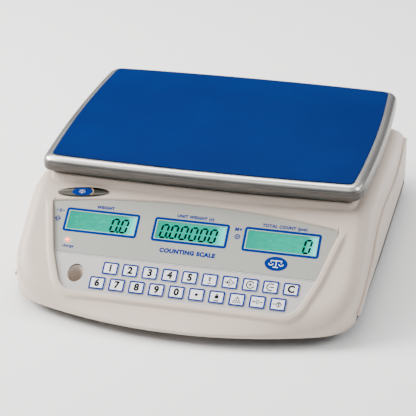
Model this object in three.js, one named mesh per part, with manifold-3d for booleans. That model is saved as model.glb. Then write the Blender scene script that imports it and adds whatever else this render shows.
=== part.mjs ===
// Counting scale: a bench scale with a stainless pan, three backlit displays and a twenty-key pad.
// Millimetres, +Z up, +Y towards the back, origin on the table under the middle of the footprint.
// It exports a THREE.Group that holds one named mesh for each physical piece.
import * as THREE from "three";
import { mergeVertices } from "three/addons/utils/BufferGeometryUtils.js";
import Module from "manifold-3d";

const wasm = await Module();
wasm.setup();

// ---------------------------------------------------------------- driving dimensions
const BODY_HALF_WIDTH = 152; // cover side walls, without the side wings
const BODY_HALF_DEPTH = 177.5;
const BODY_FLOOR = 10; // underside of the housing, above the table
const FRONT_BOW_RADIUS = 345; // the front edge bows forward on this radius
const REAR_CORNER = 25;
const WALL = 2.5;

const TOP_HEIGHT = 110; // top of the blue film
const PAN_Y = 37.5; // pan centre
const PAN_HALF_WIDTH = 147;
const PAN_HALF_DEPTH = 114;
const PAN_BOW = 4.3; // each pan edge bows out by this much at its middle
const PAN_CORNER = 12;
const PAN_SHEET = 1;
const PAN_HEIGHT = 13.2;
const FILM = 0.5;
const GAP = 0.3; // clearance left between pieces that touch

const TILT = THREE.MathUtils.degToRad(36); // console slope
const CONSOLE_Y = -82.5;
const CONSOLE_Z = 75.65;
const CONSOLE_LIFT = 1.2; // cover surface above the panel plane, measured upwards

const DECK = 87; // flank height beside the pan
const PLATEAU_TOP = 92; // raised tray under the pan
const PLATEAU_INSET = 6.5; // from the pan's outline

const WING_START = -124.4; // the side wings run from here
const WING_END = 151;
const WING_FACE = 154; // their flat outer faces
const WING_FLOOR = 17;
const FLANGE_FACE = 153.6; // side faces of the base, under the wings

const KEY_PITCH = 17.62;
const KEY_WIDTH = 14;
const KEY_DEPTH = 12;
const KEY_ROWS = [
  { left: -62.4, down: 62.1, names: ["1", "2", "3", "4", "5", "unit_set", "tare_set", "memory_add", "memory_show", "clear"] },
  { left: -71.15, down: 76.9, names: ["6", "7", "8", "9", "0", "point", "unit_weight", "sample", "zero", "tare"] },
];
const LCD_CENTRES = { lcd_weight: -80.4, lcd_unit_weight: 0, lcd_count: 80.4 };
const LCD_DOWN = 19.5;
const WINDOW_WIDTH = 60.8;
const WINDOW_DEPTH = 17.4;

const FEET = [
  { name: "front_left", x: -118, y: -108 },
  { name: "front_right", x: 118, y: -108 },
  { name: "rear_left", x: -118, y: 142 },
  { name: "rear_right", x: 118, y: 142 },
];
const SCREWS = [
  { name: "front_left", x: -135, y: -86 },
  { name: "front_right", x: 135, y: -86 },
  { name: "rear_left", x: -135, y: 124 },
  { name: "rear_right", x: 135, y: 124 },
];
const ARM_REACH_X = 105; // platform posts, from the pan centre
const ARM_REACH_Y = 75;
const STOP_X = 88; // overload stops under the arms
const STOP_Y = 67;
const SPIDER_FLOOR = 63;
const LEVEL = { x: -92.4, y: -138.7, radius: 7 };
const INLET = { x: 95, z: 24 };
const SWITCH = { x: 100, y: -58 };
const LED_SPOT = { across: -106.8, down: 39.2 };
const BADGE = { across: -103.3, down: -7.8, halfWidth: 23.4, halfDepth: 4.9, turn: 6.5 };

// ---------------------------------------------------------------- materials
function material(colour, roughness, metalness = 0) {
  return new THREE.MeshStandardMaterial({ color: colour, roughness, metalness });
}
const MATERIALS = {
  housing: material("#cfc8c0", 0.5),
  base: material("#2b2c2e", 0.6),
  lensPrint: material("#b4b5b1", 0.45),
  keypadPrint: material("#cbcacb", 0.5),
  clear: new THREE.MeshStandardMaterial({ color: "#e8f4f2", roughness: 0.05, transparent: true, opacity: 0.35 }),
  lcd: material("#06e3bd", 0.3),
  keyCap: material("#eeeef2", 0.45),
  circuit: material("#1f6b3a", 0.6),
  steel: material("#b9b4ae", 0.3, 1),
  film: material("#023f88", 0.4),
  aluminium: material("#b4b6b8", 0.45, 1),
  rubber: material("#1b1b1c", 0.85),
  blackPlastic: material("#17181a", 0.5),
  led: material("#ff5a3a", 0.3),
  badge: material("#55534a", 0.3, 1),
  zinc: material("#c9c9c6", 0.35, 1),
  battery: material("#3a3d42", 0.5),
};

// ---------------------------------------------------------------- solids
function solidOf(geometry) {
  const plain = geometry.clone();
  plain.deleteAttribute("normal");
  plain.deleteAttribute("uv");
  const merged = mergeVertices(plain, 1e-4);
  return new wasm.Manifold(
    new wasm.Mesh({
      numProp: 3,
      vertProperties: new Float32Array(merged.attributes.position.array),
      triVerts: new Uint32Array(merged.index.array),
    }),
  );
}

function geometryOf(solid) {
  const mesh = solid.getMesh();
  const geometry = new THREE.BufferGeometry();
  geometry.setAttribute("position", new THREE.BufferAttribute(mesh.vertProperties, 3));
  geometry.setIndex(new THREE.BufferAttribute(mesh.triVerts, 1));
  const flat = geometry.toNonIndexed();
  flat.computeVertexNormals();
  return flat;
}

const join = (...solids) => solids.reduce((a, b) => a.add(b));
const cut = (solid, ...tools) => tools.reduce((a, b) => a.subtract(b), solid);

function box(x0, x1, y0, y1, z0, z1) {
  const geometry = new THREE.BoxGeometry(x1 - x0, y1 - y0, z1 - z0);
  geometry.translate((x0 + x1) / 2, (y0 + y1) / 2, (z0 + z1) / 2);
  return solidOf(geometry);
}

function rod(x, y, z0, z1, radius, segments = 20) {
  const geometry = new THREE.CylinderGeometry(radius, radius, z1 - z0, segments);
  geometry.rotateX(Math.PI / 2).translate(x, y, (z0 + z1) / 2);
  return solidOf(geometry);
}

// A turned piece about the vertical through (x, y); profile lists [radius, height] and closes on the axis.
function turned(x, y, profile, segments = 24) {
  const points = profile.map(([radius, height]) => new THREE.Vector2(radius, height));
  const geometry = new THREE.LatheGeometry(points, segments);
  geometry.rotateX(Math.PI / 2).translate(x, y, 0);
  return solidOf(geometry);
}

function plate(shape, z0, z1, curveSegments = 6) {
  const geometry = new THREE.ExtrudeGeometry(shape, { depth: z1 - z0, bevelEnabled: false, curveSegments });
  geometry.translate(0, 0, z0);
  return solidOf(geometry);
}

function roundedRectangle(x, y, width, depth, radius) {
  const [x0, x1, y0, y1] = [x - width / 2, x + width / 2, y - depth / 2, y + depth / 2];
  const shape = new THREE.Shape();
  shape.moveTo(x0 + radius, y0).lineTo(x1 - radius, y0);
  shape.absarc(x1 - radius, y0 + radius, radius, -Math.PI / 2, 0);
  shape.lineTo(x1, y1 - radius).absarc(x1 - radius, y1 - radius, radius, 0, Math.PI / 2);
  shape.lineTo(x0 + radius, y1).absarc(x0 + radius, y1 - radius, radius, Math.PI / 2, Math.PI);
  shape.lineTo(x0, y0 + radius).absarc(x0 + radius, y0 + radius, radius, Math.PI, 1.5 * Math.PI);
  return shape;
}

// A closed solid through rings of equal point counts, each counter-clockwise from above; the first and last are capped.
function loft(rings) {
  const count = rings[0].length;
  const positions = rings.flat().flatMap((p) => [p.x, p.y, p.z]);
  const index = [];
  for (let k = 0; k < rings.length - 1; k++)
    for (let i = 0; i < count; i++) {
      const j = (i + 1) % count;
      const [a, b, c, d] = [k * count + i, k * count + j, (k + 1) * count + j, (k + 1) * count + i];
      index.push(a, b, c, a, c, d);
    }
  const cap = (ring, flip) => {
    const centre = ring.reduce((sum, p) => sum.add(p), new THREE.Vector3()).divideScalar(count);
    positions.push(centre.x, centre.y, centre.z);
    const hub = positions.length / 3 - 1;
    const base = rings.indexOf(ring) * count;
    for (let i = 0; i < count; i++) {
      const j = (i + 1) % count;
      index.push(hub, base + (flip ? j : i), base + (flip ? i : j));
    }
  };
  cap(rings[0], true);
  cap(rings.at(-1), false);
  const geometry = new THREE.BufferGeometry();
  geometry.setAttribute("position", new THREE.Float32BufferAttribute(positions, 3));
  geometry.setIndex(index);
  return solidOf(geometry);
}

// ---------------------------------------------------------------- housing surface
// Polynomial smooth minimum: exact away from the crossing, rounded over a band of size k.
function smoothMin(a, b, k) {
  const h = Math.max(k - Math.abs(a - b), 0) / k;
  return Math.min(a, b) - (h * h * k) / 4;
}
const smoothMax = (a, b, k) => -smoothMin(-a, -b, k);

// Height of the crowned top along the centre plane, before its edges round over.
function crestHeight(y) {
  const slope = CONSOLE_Z + CONSOLE_LIFT + (y - CONSOLE_Y) * Math.tan(TILT);
  const nose = 14 + (y + BODY_HALF_DEPTH) * 0.3;
  const rear = 80.5 - (y - 122.5) * 0.49;
  return smoothMin(smoothMin(smoothMax(slope, nose, 4), DECK, 8), rear, 12);
}

// Height at which the vertical side wall starts to round over.
function shoulderHeight(crest) {
  const share = Math.max((crest - 20) / 67, 0);
  return 12 + 61 * share ** 1.05;
}

// Right half of the plan outline, front to back.
function sideOutline() {
  const points = [];
  const edge = (x) => -BODY_HALF_DEPTH + (x ** 2 - 15 ** 2) / (2 * FRONT_BOW_RADIUS);
  for (const x of [15, 38, 60, 80, 95, 109]) points.push([x, edge(x)]);
  const start = new THREE.Vector2(122, edge(122));
  const slope = 122 / FRONT_BOW_RADIUS;
  const control = new THREE.Vector2(BODY_HALF_WIDTH, start.y + (BODY_HALF_WIDTH - start.x) * slope);
  const end = new THREE.Vector2(BODY_HALF_WIDTH, -112);
  for (const p of new THREE.QuadraticBezierCurve(start, control, end).getPoints(7)) points.push([p.x, p.y]);
  for (const y of [-98, -86, -70, -50, -25, 0, 40, 80, 110, 125, 138]) points.push([BODY_HALF_WIDTH, y]);
  const corner = [BODY_HALF_WIDTH - REAR_CORNER, BODY_HALF_DEPTH - REAR_CORNER];
  for (let step = 0; step <= 6; step++) {
    const angle = (step * Math.PI) / 12;
    points.push([corner[0] + REAR_CORNER * Math.cos(angle), corner[1] + REAR_CORNER * Math.sin(angle)]);
  }
  return points;
}
const SIDE = sideOutline();

function distanceToOutline(x, y) {
  let best = Math.min(y + BODY_HALF_DEPTH, BODY_HALF_DEPTH - y, 1e3);
  const ax = Math.abs(x);
  for (let i = 0; i < SIDE.length - 1; i++) {
    const [x0, y0] = SIDE[i];
    const [dx, dy] = [SIDE[i + 1][0] - x0, SIDE[i + 1][1] - y0];
    const t = THREE.MathUtils.clamp(((ax - x0) * dx + (y - y0) * dy) / (dx * dx + dy * dy), 0, 1);
    best = Math.min(best, Math.hypot(ax - x0 - t * dx, y - y0 - t * dy));
  }
  return best;
}

const ROUND_WIDTH = 13;
function topHeight(x, y) {
  const crest = crestHeight(y);
  const edge = shoulderHeight(crest);
  const t = Math.min(distanceToOutline(x, y) / ROUND_WIDTH, 1);
  return edge + (crest - edge) * Math.sqrt(1 - (1 - t) ** 2);
}

// The housing's outer form, or its hollow when inset is positive. It stands on floorZ.
function housingForm(inset, floorZ) {
  const steps = inset ? [0, 1.5, 6, ROUND_WIDTH] : [0, 0.7, 2.4, 5.2, 9, ROUND_WIDTH];
  const rows = SIDE.map(([half, y]) => {
    const shrink = Math.min(1, half / 40);
    const across = steps.map((s) => half - s * shrink);
    across.push(half * 0.5 * shrink);
    const xs = [...across.map((x) => -x), 0, ...across.toReversed()];
    return xs.map((x) => {
      const px = x * (1 - inset / BODY_HALF_WIDTH);
      const py = y * (1 - inset / BODY_HALF_DEPTH);
      return new THREE.Vector3(px, py, topHeight(x, y) - inset * 1.15);
    });
  });
  const [n, m] = [rows.length, rows[0].length];
  const positions = [];
  for (const row of rows) for (const p of row) positions.push(p.x, p.y, p.z);
  for (const row of rows) for (const p of row) positions.push(p.x, p.y, floorZ);
  const index = [];
  const id = (i, j) => i * m + j;
  const quad = (a, b, c, d) => index.push(a, b, c, a, c, d);
  const under = n * m;
  for (let i = 0; i < n - 1; i++)
    for (let j = 0; j < m - 1; j++) {
      const [a, b, c, d] = [id(i, j), id(i, j + 1), id(i + 1, j + 1), id(i + 1, j)];
      quad(a, b, c, d);
      quad(under + d, under + c, under + b, under + a);
    }
  const wall = (a, b) => quad(under + a, under + b, b, a);
  for (let j = 0; j < m - 1; j++) {
    wall(id(0, j), id(0, j + 1));
    wall(id(n - 1, j + 1), id(n - 1, j));
  }
  for (let i = 0; i < n - 1; i++) {
    wall(id(i, m - 1), id(i + 1, m - 1));
    wall(id(i + 1, 0), id(i, 0));
  }
  const geometry = new THREE.BufferGeometry();
  geometry.setAttribute("position", new THREE.Float32BufferAttribute(positions, 3));
  geometry.setIndex(index);
  return solidOf(geometry);
}

// ---------------------------------------------------------------- outlines
// Right half of the housing's plan outline offset by grow, front to back.
function planOutline(grow) {
  return SIDE.map(([x, y], i) => {
    const [px, py] = SIDE[Math.max(i - 1, 0)];
    const [nx, ny] = SIDE[Math.min(i + 1, SIDE.length - 1)];
    const length = Math.hypot(nx - px, ny - py);
    return [x + (grow * (ny - py)) / length, y - (grow * (nx - px)) / length];
  });
}

function planShape(grow) {
  const half = planOutline(grow);
  return new THREE.Shape([
    ...half.map(([x, y]) => new THREE.Vector2(x, y)),
    ...half.toReversed().map(([x, y]) => new THREE.Vector2(-x, y)),
  ]);
}

// Pan outline inset by the given amount: four bowed edges joined by round corners, as a ring at height z.
function panRing(inset, z) {
  const [hw, hd] = [PAN_HALF_WIDTH - inset, PAN_HALF_DEPTH - inset];
  const radius = Math.max(PAN_CORNER - inset, 2);
  const bow = (t) => PAN_BOW * t * t;
  const ring = [];
  for (let quarter = 0; quarter < 4; quarter++) {
    const along = quarter % 2 ? hw : hd;
    const out = quarter % 2 ? hd : hw;
    const reach = (along - PAN_BOW - radius) / along;
    const turn = (quarter * Math.PI) / 2;
    const place = (a, b) => ring.push(
      new THREE.Vector3(
        a * Math.cos(turn) - b * Math.sin(turn),
        PAN_Y + a * Math.sin(turn) + b * Math.cos(turn),
        z,
      ),
    );
    for (const t of [-1, -0.5, 0, 0.5, 1]) place(out - bow(t * reach), t * reach * along);
    for (const step of [1, 2, 3]) {
      const angle = (step * Math.PI) / 8;
      const centre = [out - bow(reach) - radius, reach * along];
      place(centre[0] + radius * Math.cos(angle), centre[1] + radius * Math.sin(angle));
    }
  }
  return ring;
}

// ---------------------------------------------------------------- console frame
// Console coordinates: across, up the slope, and out of the panel. "down" is measured from its top line.
const consoleFrame = new THREE.Matrix4().makeRotationX(TILT).setPosition(0, CONSOLE_Y, CONSOLE_Z);
const toConsole = (solid) => solid.transform(consoleFrame.toArray());

const panelSide = (down) => (down < 51.5 ? 129.1 - 0.258 * down : 115.8 - 0.36 * (down - 51.5) - 0.0015 * (down - 51.5) ** 2);

function panelShape(fromDown, toDown, grow, corner) {
  const shape = new THREE.Shape();
  const right = [];
  const left = [];
  for (let k = 0; k <= 8; k++) {
    const down = THREE.MathUtils.lerp(fromDown, toDown - corner, k / 8);
    right.unshift([panelSide(down) + grow, -down]);
  }
  const bottom = -toDown - grow;
  const low = panelSide(toDown) + grow;
  shape.moveTo(0, bottom);
  if (corner) {
    shape.lineTo(low - corner * 1.1, bottom);
    shape.quadraticCurveTo(low - 1, bottom, ...right[0]);
  } else shape.lineTo(low, bottom);
  right.forEach(([x, y]) => shape.lineTo(x, y));
  for (const x of topArc(fromDown)) shape.lineTo(x, archHeight(x, fromDown) + grow);
  for (const [x, y] of right.toReversed()) left.push([-x, y]);
  left.forEach(([x, y]) => shape.lineTo(x, y));
  if (corner) shape.quadraticCurveTo(-low + 1, bottom, -low + corner * 1.1, bottom);
  else shape.lineTo(-low, bottom);
  return shape;
}
// The display panel's top edge is arched; the keypad's is straight.
const topArc = (fromDown) => (fromDown < 10 ? [112, 90, 60, 30, 0, -30, -60, -90, -112] : [0]);
const archHeight = (x, fromDown) => (fromDown < 10 ? 7.3 - 0.000635 * x * x : -fromDown);

const consoleRect = (across, down, width, depth, radius) => roundedRectangle(across, -down, width, depth, radius);

function eachKey(visit) {
  for (const row of KEY_ROWS)
    row.names.forEach((name, i) => visit(name, row.left + i * KEY_PITCH, row.down));
}

// ---------------------------------------------------------------- housing
const WING_LINE = [
  [-130, 19.6], [-124.4, 20], [-90, 24.6], [-56, 32], [-40, 43], [-24, 51], [0, 54.5],
  [35, 51], [66, 47], [85, 46.5], [113, 50], [128, 57], [140, 62], [146, 61], [152, 58],
];

function wingTop(y) {
  const points = new THREE.SplineCurve(WING_LINE.map(([a, b]) => new THREE.Vector2(a, b))).getPoints(80);
  const k = Math.max(points.findIndex((p) => p.x >= y), 1);
  const [a, b] = [points[k - 1], points[k]];
  return THREE.MathUtils.lerp(a.y, b.y, (y - a.x) / (b.x - a.x));
}

function wing(side) {
  const inner = WING_FACE - 3.8;
  const stations = [WING_START, -112, -98, -84, -70, -56, -48, -40, -32, -24, -12, 0, 20, 45, 70, 95, 110, 120, 130, 140, WING_END];
  const rings = stations.map((y) => {
    const top = wingTop(y);
    const section = [[inner, WING_FLOOR], [WING_FACE, WING_FLOOR], [WING_FACE, top - 2.2], [WING_FACE - 0.8, top - 0.6]];
    section.push([WING_FACE - 2, top], [inner, top]);
    const ring = section.map(([x, z]) => new THREE.Vector3(side * x, y, z));
    return side > 0 ? ring.toReversed() : ring;
  });
  return loft(rings);
}

function plateau(inset, top) {
  const rings = [panRing(PLATEAU_INSET + inset, 60), panRing(PLATEAU_INSET + inset, top - 3), panRing(PLATEAU_INSET + inset + 3, top)];
  return loft(rings);
}

function upperCover() {
  const form = join(housingForm(0, BODY_FLOOR), plateau(0, PLATEAU_TOP));
  const hollow = join(housingForm(WALL, 0), plateau(WALL, PLATEAU_TOP - WALL)).intersect(behindNose(11));
  const seat = toConsole(plate(panelShape(3, 88, 3, 9), -4, -1.5));
  const shrouds = Object.values(LCD_CENTRES).map((across) =>
    toConsole(plate(consoleRect(across, LCD_DOWN, WINDOW_WIDTH + 5, WINDOW_DEPTH + 5, 1.5), -5.7, -3.9)),
  );
  const rimBand = cut(
    plate(panelShape(3, 88, 6.6, 12), -2, 2),
    plate(roundedRectangle(0, 12, 300, 40, 2), -3, 3),
  );
  const posts = SCREWS.map(({ x, y }) => rod(x, y, 25, 84, 4.5, 14));
  const well = rod(LEVEL.x, LEVEL.y, 22, 60, LEVEL.radius + 2, 24);
  const inside = join(seat, ...shrouds, ...posts, well).intersect(form);
  const shell = join(cut(form, hollow), inside, wing(1), wing(-1), toConsole(rimBand));
  const recess = toConsole(plate(panelShape(3, 88, 0.8, 9), -1.5, 20));
  const windows = Object.values(LCD_CENTRES).map((across) =>
    toConsole(plate(consoleRect(across, LCD_DOWN, WINDOW_WIDTH + 1, WINDOW_DEPTH + 1, 1), -8, 0)),
  );
  const windowSeat = toConsole(plate(consoleRect(0, LCD_DOWN, 236, 28, 2), -2.8, 0));
  const keyOpening = toConsole(plate(consoleRect(12.5, 69.5, 186, 31, 3), -8, 0));
  const ledHole = toConsole(rod(LED_SPOT.across, -LED_SPOT.down, -8, 0, 2.2, 12));
  const postHoles = eachPost((x, y) => rod(x, y, 80, 110, 11, 20));
  const screwHoles = SCREWS.map(({ x, y }) => rod(x, y, 20, 44, 2.1, 10));
  return cut(
    shell,
    recess,
    ...windows,
    windowSeat,
    keyOpening,
    ledHole,
    ...postHoles,
    ...screwHoles,
    rod(LEVEL.x, LEVEL.y, 0, 60, LEVEL.radius, 24),
    box(-200, 200, WING_START, WING_END, 0, WING_FLOOR),
    inletHole(6),
  );
}

// Everything behind the housing's solid front lip, which is this deep.
const behindNose = (depth) => plate(planShape(6), 0, 120).translate([0, depth + 6, 0]);

const eachPost = (make) => [-1, 1].flatMap((sx) => [-1, 1].map((sy) => make(sx * ARM_REACH_X, PAN_Y + sy * ARM_REACH_Y)));

function inletHole(radius) {
  const geometry = new THREE.CylinderGeometry(radius, radius, 60, 20);
  geometry.translate(INLET.x, 160, INLET.z);
  return solidOf(geometry);
}

function lowerBase() {
  const flangeSide = [[FLANGE_FACE - 2.8, WING_START + 2], [FLANGE_FACE - 0.9, -70], [FLANGE_FACE, 0], [FLANGE_FACE, WING_END - 1]];
  const flangeShape = new THREE.Shape([
    ...flangeSide.map(([x, y]) => new THREE.Vector2(x, y)),
    ...flangeSide.toReversed().map(([x, y]) => new THREE.Vector2(-x, y)),
  ]);
  const flange = plate(flangeShape, BODY_FLOOR, WING_FLOOR - 0.4);
  const inFront = (y) => box(-200, 200, -200, y, 11.8, 40);
  const sole = join(plate(planShape(-4.2), BODY_FLOOR, 14.6), flange);
  const tray = cut(sole, plate(planShape(-9), 12.8, 20), inFront(-146)).intersect(behindNose(11.6));
  const lip = cut(plate(planShape(-4.4), 14, 20), plate(planShape(-6.4), 12, 22), inletHole(7.5), inFront(-125));
  const bosses = FEET.map(({ x, y }) => rod(x, y, 12, 30, 7, 16));
  const screwBosses = SCREWS.map(({ x, y }) => rod(x, y, 12, 24.6, 4.5, 14));
  const stops = [-1, 1].flatMap((sx) =>
    [-1, 1].map((sy) => turned(sx * STOP_X, PAN_Y + sy * STOP_Y, [[0, 12], [6, 12], [3.6, 62.3], [0, 62.3]], 10)),
  );
  const standoffs = [[45, -4], [123, -4], [45, 84], [123, 84]].map(([x, y]) => rod(x, y, 12, 17.7, 3, 10));
  const batteryWalls = [box(-131, -129.6, -10, 80, 12, 26), box(-128, -58, -18.4, -16.8, 12, 26), box(-128, -58, 87.4, 89, 12, 26)];
  return cut(
    join(tray, lip, ...bosses, ...screwBosses, ...stops, ...standoffs, ...batteryWalls),
    ...FEET.map(({ x, y }) => rod(x, y, 0, 40, 4, 16)),
    ...SCREWS.map(({ x, y }) => rod(x, y, 0, 40, 2.1, 10)),
    ...SCREWS.map(({ x, y }) => rod(x, y, 0, 13, 3.8, 12)),
    box(SWITCH.x - 10, SWITCH.x + 10, SWITCH.y - 7, SWITCH.y + 7, 0, 20),
  );
}

// ---------------------------------------------------------------- pan and platform
function weighingPan() {
  const top = TOP_HEIGHT - FILM - GAP;
  const bottom = TOP_HEIGHT - PAN_HEIGHT;
  const rings = [[6.4, top - PAN_SHEET], [3.4, top - 1.7], [1.7, top - 3.6], [PAN_SHEET, top - 6.4], [PAN_SHEET, bottom],
    [0, bottom], [0, top - 6.2], [0.8, top - 3], [2.8, top - 0.8], [6.2, top]];
  return loft(rings.map(([inset, z]) => panRing(inset, z)));
}

const panFilm = () => loft([panRing(8, TOP_HEIGHT - FILM), panRing(8, TOP_HEIGHT)]);

function platformSpider() {
  const hub = plate(roundedRectangle(0, PAN_Y, 62, 96, 8), SPIDER_FLOOR, SPIDER_FLOOR + 8, 3);
  const window = plate(roundedRectangle(0, PAN_Y - 14, 34, 40, 6), SPIDER_FLOOR - 1, SPIDER_FLOOR + 9, 3);
  const boss = box(-15, 15, 77, 109, 57.4, SPIDER_FLOOR + 1);
  const arms = eachPost((x, y) => {
    const [sx, sy] = [Math.sign(x), Math.sign(y - PAN_Y)];
    const root = [sx * 24, PAN_Y + sy * 36];
    const length = Math.hypot(x - root[0], y - root[1]);
    const [nx, ny] = [(-(y - root[1]) / length) * 7, ((x - root[0]) / length) * 7];
    const shape = new THREE.Shape([
      new THREE.Vector2(root[0] + nx * 1.5, root[1] + ny * 1.5),
      new THREE.Vector2(root[0] - nx * 1.5, root[1] - ny * 1.5),
      new THREE.Vector2(x - nx, y - ny),
      new THREE.Vector2(x + nx, y + ny),
    ]);
    const post = turned(x, y, [[0, SPIDER_FLOOR], [9, SPIDER_FLOOR], [9, SPIDER_FLOOR + 8], [7, 93], [0, 93]], 16);
    return cut(join(plate(shape, SPIDER_FLOOR, SPIDER_FLOOR + 8), post), rod(x, y, 84, 100, 3.3, 12));
  });
  return join(cut(hub, window), boss, ...arms);
}

function platformBush(x, y) {
  const top = TOP_HEIGHT - FILM - GAP - PAN_SHEET - GAP;
  return turned(x, y, [[0, 86], [3, 86], [3, 93.3], [8.6, 93.3], [8.6, 98], [7.4, 99.5], [7.4, 106], [6.4, top], [0, top]], 18);
}

function loadCell() {
  const [y0, y1, z0, z1] = [PAN_Y - 75, PAN_Y + 75, 19.1, 57.1];
  const bore = (y) => {
    const geometry = new THREE.CylinderGeometry(12, 12, 60, 24);
    geometry.rotateZ(Math.PI / 2).translate(0, y, (z0 + z1) / 2);
    return solidOf(geometry);
  };
  const bolt = (y, from, to) => rod(0, y, from, to, 3.3, 10);
  return cut(
    box(-18, 18, y0, y1, z0, z1),
    bore(PAN_Y - 18),
    bore(PAN_Y + 18),
    box(-30, 30, PAN_Y - 18, PAN_Y + 18, 35, 41),
    bolt(y0 + 12, 10, 36),
    bolt(y1 - 14, 40, 60),
  );
}

const loadCellSpacer = () => cut(box(-18, 18, PAN_Y - 75, PAN_Y - 35, 13.1, 18.8), rod(0, PAN_Y - 63, 10, 20, 3.3, 10));

// ---------------------------------------------------------------- console pieces, in console coordinates
function displayPanel() {
  const windows = Object.values(LCD_CENTRES).map((across) =>
    plate(consoleRect(across, LCD_DOWN, WINDOW_WIDTH, WINDOW_DEPTH, 1.6), -2, 1, 3),
  );
  return cut(plate(panelShape(3, 51.2, 0, 0), -1.2, 0), ...windows, rod(LED_SPOT.across, -LED_SPOT.down, -3, 3, 1.9, 12));
}

const displayWindow = () => plate(consoleRect(0, LCD_DOWN, 235.4, 27.4, 1.6), -2.5, -1.5, 2);

const lcdModule = (across) => join(
  plate(consoleRect(across, LCD_DOWN, 70, 26, 1), -8.6, -6, 2),
  plate(consoleRect(across, LCD_DOWN, 72, 28, 1), -12, -8.4, 2),
);

function displayBoard() {
  const board = plate(consoleRect(0, 22, 232, 38, 2), -13.9, -12.3, 2);
  const driver = plate(consoleRect(-40, 22, 14, 14, 0.5), -15.6, -13.8, 1);
  const socket = plate(consoleRect(60, 22, 24, 6, 0.5), -20, -13.8, 1);
  return join(board, driver, socket);
}

function keypadOverlay() {
  const holes = [];
  eachKey((name, across, down) => holes.push(plate(consoleRect(across, down, KEY_WIDTH + 0.6, KEY_DEPTH + 0.6, 1), -2, 1, 1)));
  const shape = panelShape(51.6, 88, 0, 8);
  const sight = new THREE.CylinderGeometry(LEVEL.radius, LEVEL.radius, 40, 24);
  sight.rotateX(Math.PI / 2).translate(LEVEL.x, LEVEL.y, 36);
  const upright = solidOf(sight.applyMatrix4(consoleFrame.clone().invert()));
  return cut(plate(shape, -1.2, 0), ...holes, upright);
}

const keypadBoard = () => join(
  plate(consoleRect(12.5, 69.5, 184, 29, 2), -6.2, -4.6, 2),
  plate(consoleRect(12.5, 69.5, 30, 6, 0.5), -10, -6.1, 1),
);

function keyPiece() {
  const cap = plate(roundedRectangle(0, 0, KEY_WIDTH, KEY_DEPTH, 1.4), -1, 0.6, 1);
  return join(cap, rod(0, 0, -3.5, -0.9, 2, 6));
}

const chargeLed = () => turned(0, 0, [[0, -6], [1.5, -6], [1.5, 0.1], [1, 0.5], [0, 0.7]], 12);

function nameBadge() {
  const shape = new THREE.Shape();
  shape.absellipse(0, 0, BADGE.halfWidth, BADGE.halfDepth, 0, 2 * Math.PI);
  return plate(shape, 0, 1, 9).rotate([0, 0, BADGE.turn]);
}

// ---------------------------------------------------------------- inside and underneath
const levelVial = () => turned(LEVEL.x, LEVEL.y, [[0, 13.1], [6.4, 13.1], [6.4, 20.4], [5.8, 21], [0, 21]], 20);

const battery = () => join(box(-128, -58, -15, 86, 13.1, 60), box(-124, -119, -16.5, -14.9, 50, 56), box(-70, -65, -16.5, -14.9, 50, 56));

function batteryBracket() {
  const outside = box(-129.5, -56.5, 26, 46, 13.1, 61.6);
  const foot = box(-56.6, -46, 26, 46, 13.1, 14.3);
  return join(cut(outside, box(-128.3, -57.7, 20, 50, 0, 60.4)), foot);
}

function mainBoard() {
  const board = cut(
    box(40, 128, -10, 90, 18, 19.6),
    ...[[45, -4], [123, -4], [45, 84], [123, 84]].map(([x, y]) => rod(x, y, 10, 30, 1.6, 8)),
  );
  return join(
    board,
    box(60, 84, 10, 34, 19.5, 22),
    box(96, 112, 50, 76, 19.5, 38),
    box(48, 60, 60, 84, 19.5, 30),
    rod(92, 10, 19.5, 34, 6, 14),
    rod(108, 12, 19.5, 34, 6, 14),
  );
}

function powerInlet() {
  const barrel = new THREE.LatheGeometry(
    [[0, 0], [5.7, 0], [5.7, 17], [3.2, 17], [3.2, 8], [1, 8], [1, 16], [0, 16]].map(([r, h]) => new THREE.Vector2(r, h)),
    18,
  );
  barrel.translate(INLET.x, 160.2, INLET.z);
  return join(solidOf(barrel), box(INLET.x - 6.5, INLET.x + 6.5, 149, 160.4, INLET.z - 6, INLET.z + 6));
}

function switchHousing() {
  const flange = plate(roundedRectangle(SWITCH.x, SWITCH.y, 23, 17, 1.5), 8.3, 9.7, 3);
  const body = box(SWITCH.x - 9.7, SWITCH.x + 9.7, SWITCH.y - 6.7, SWITCH.y + 6.7, 9.6, 24);
  const lugs = [-5, 5].map((dx) => box(SWITCH.x + dx - 1.5, SWITCH.x + dx + 1.5, SWITCH.y - 0.5, SWITCH.y + 0.5, 23.9, 30));
  const mouth = box(SWITCH.x - 8, SWITCH.x + 8, SWITCH.y - 5.2, SWITCH.y + 5.2, 0, 18.5);
  return cut(join(flange, body, ...lugs), mouth);
}

// The rocker about its pivot: two faces that meet in a shallow valley below it.
function switchRocker() {
  const shape = new THREE.Shape();
  shape.moveTo(-6.9, -5.6).quadraticCurveTo(0, -3.4, 6.9, -5.6).lineTo(6.6, 0.5);
  shape.quadraticCurveTo(0, 5.4, -6.6, 0.5).lineTo(-6.9, -5.6);
  const geometry = new THREE.ExtrudeGeometry(shape, { depth: 9.6, bevelEnabled: false, curveSegments: 4 });
  geometry.rotateX(Math.PI / 2).translate(0, 4.8, 0);
  return solidOf(geometry);
}

const coverScrew = (x, y) => turned(x, y, [[0, 10.3], [3.4, 10.3], [3.4, 12.2], [1.7, 12.7], [1.7, 40], [0, 41.5]], 12);

const footPad = (x, y) => turned(x, y, [[0, 0], [14, 0], [15, 1], [15, 3.4], [14.2, 4.2], [0, 4.2]], 24);

const footScrew = (x, y) => turned(x, y, [[0, 4.5], [12.6, 4.5], [13, 5], [13, 7.8], [12.5, 8.3], [3.7, 8.3], [3.7, 27], [2.8, 28], [0, 28]], 20);

// ---------------------------------------------------------------- assembly
const scale = new THREE.Group();
const consoleGroup = new THREE.Group();
consoleGroup.rotation.x = TILT;
consoleGroup.position.set(0, CONSOLE_Y, CONSOLE_Z);
scale.add(consoleGroup);

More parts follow.
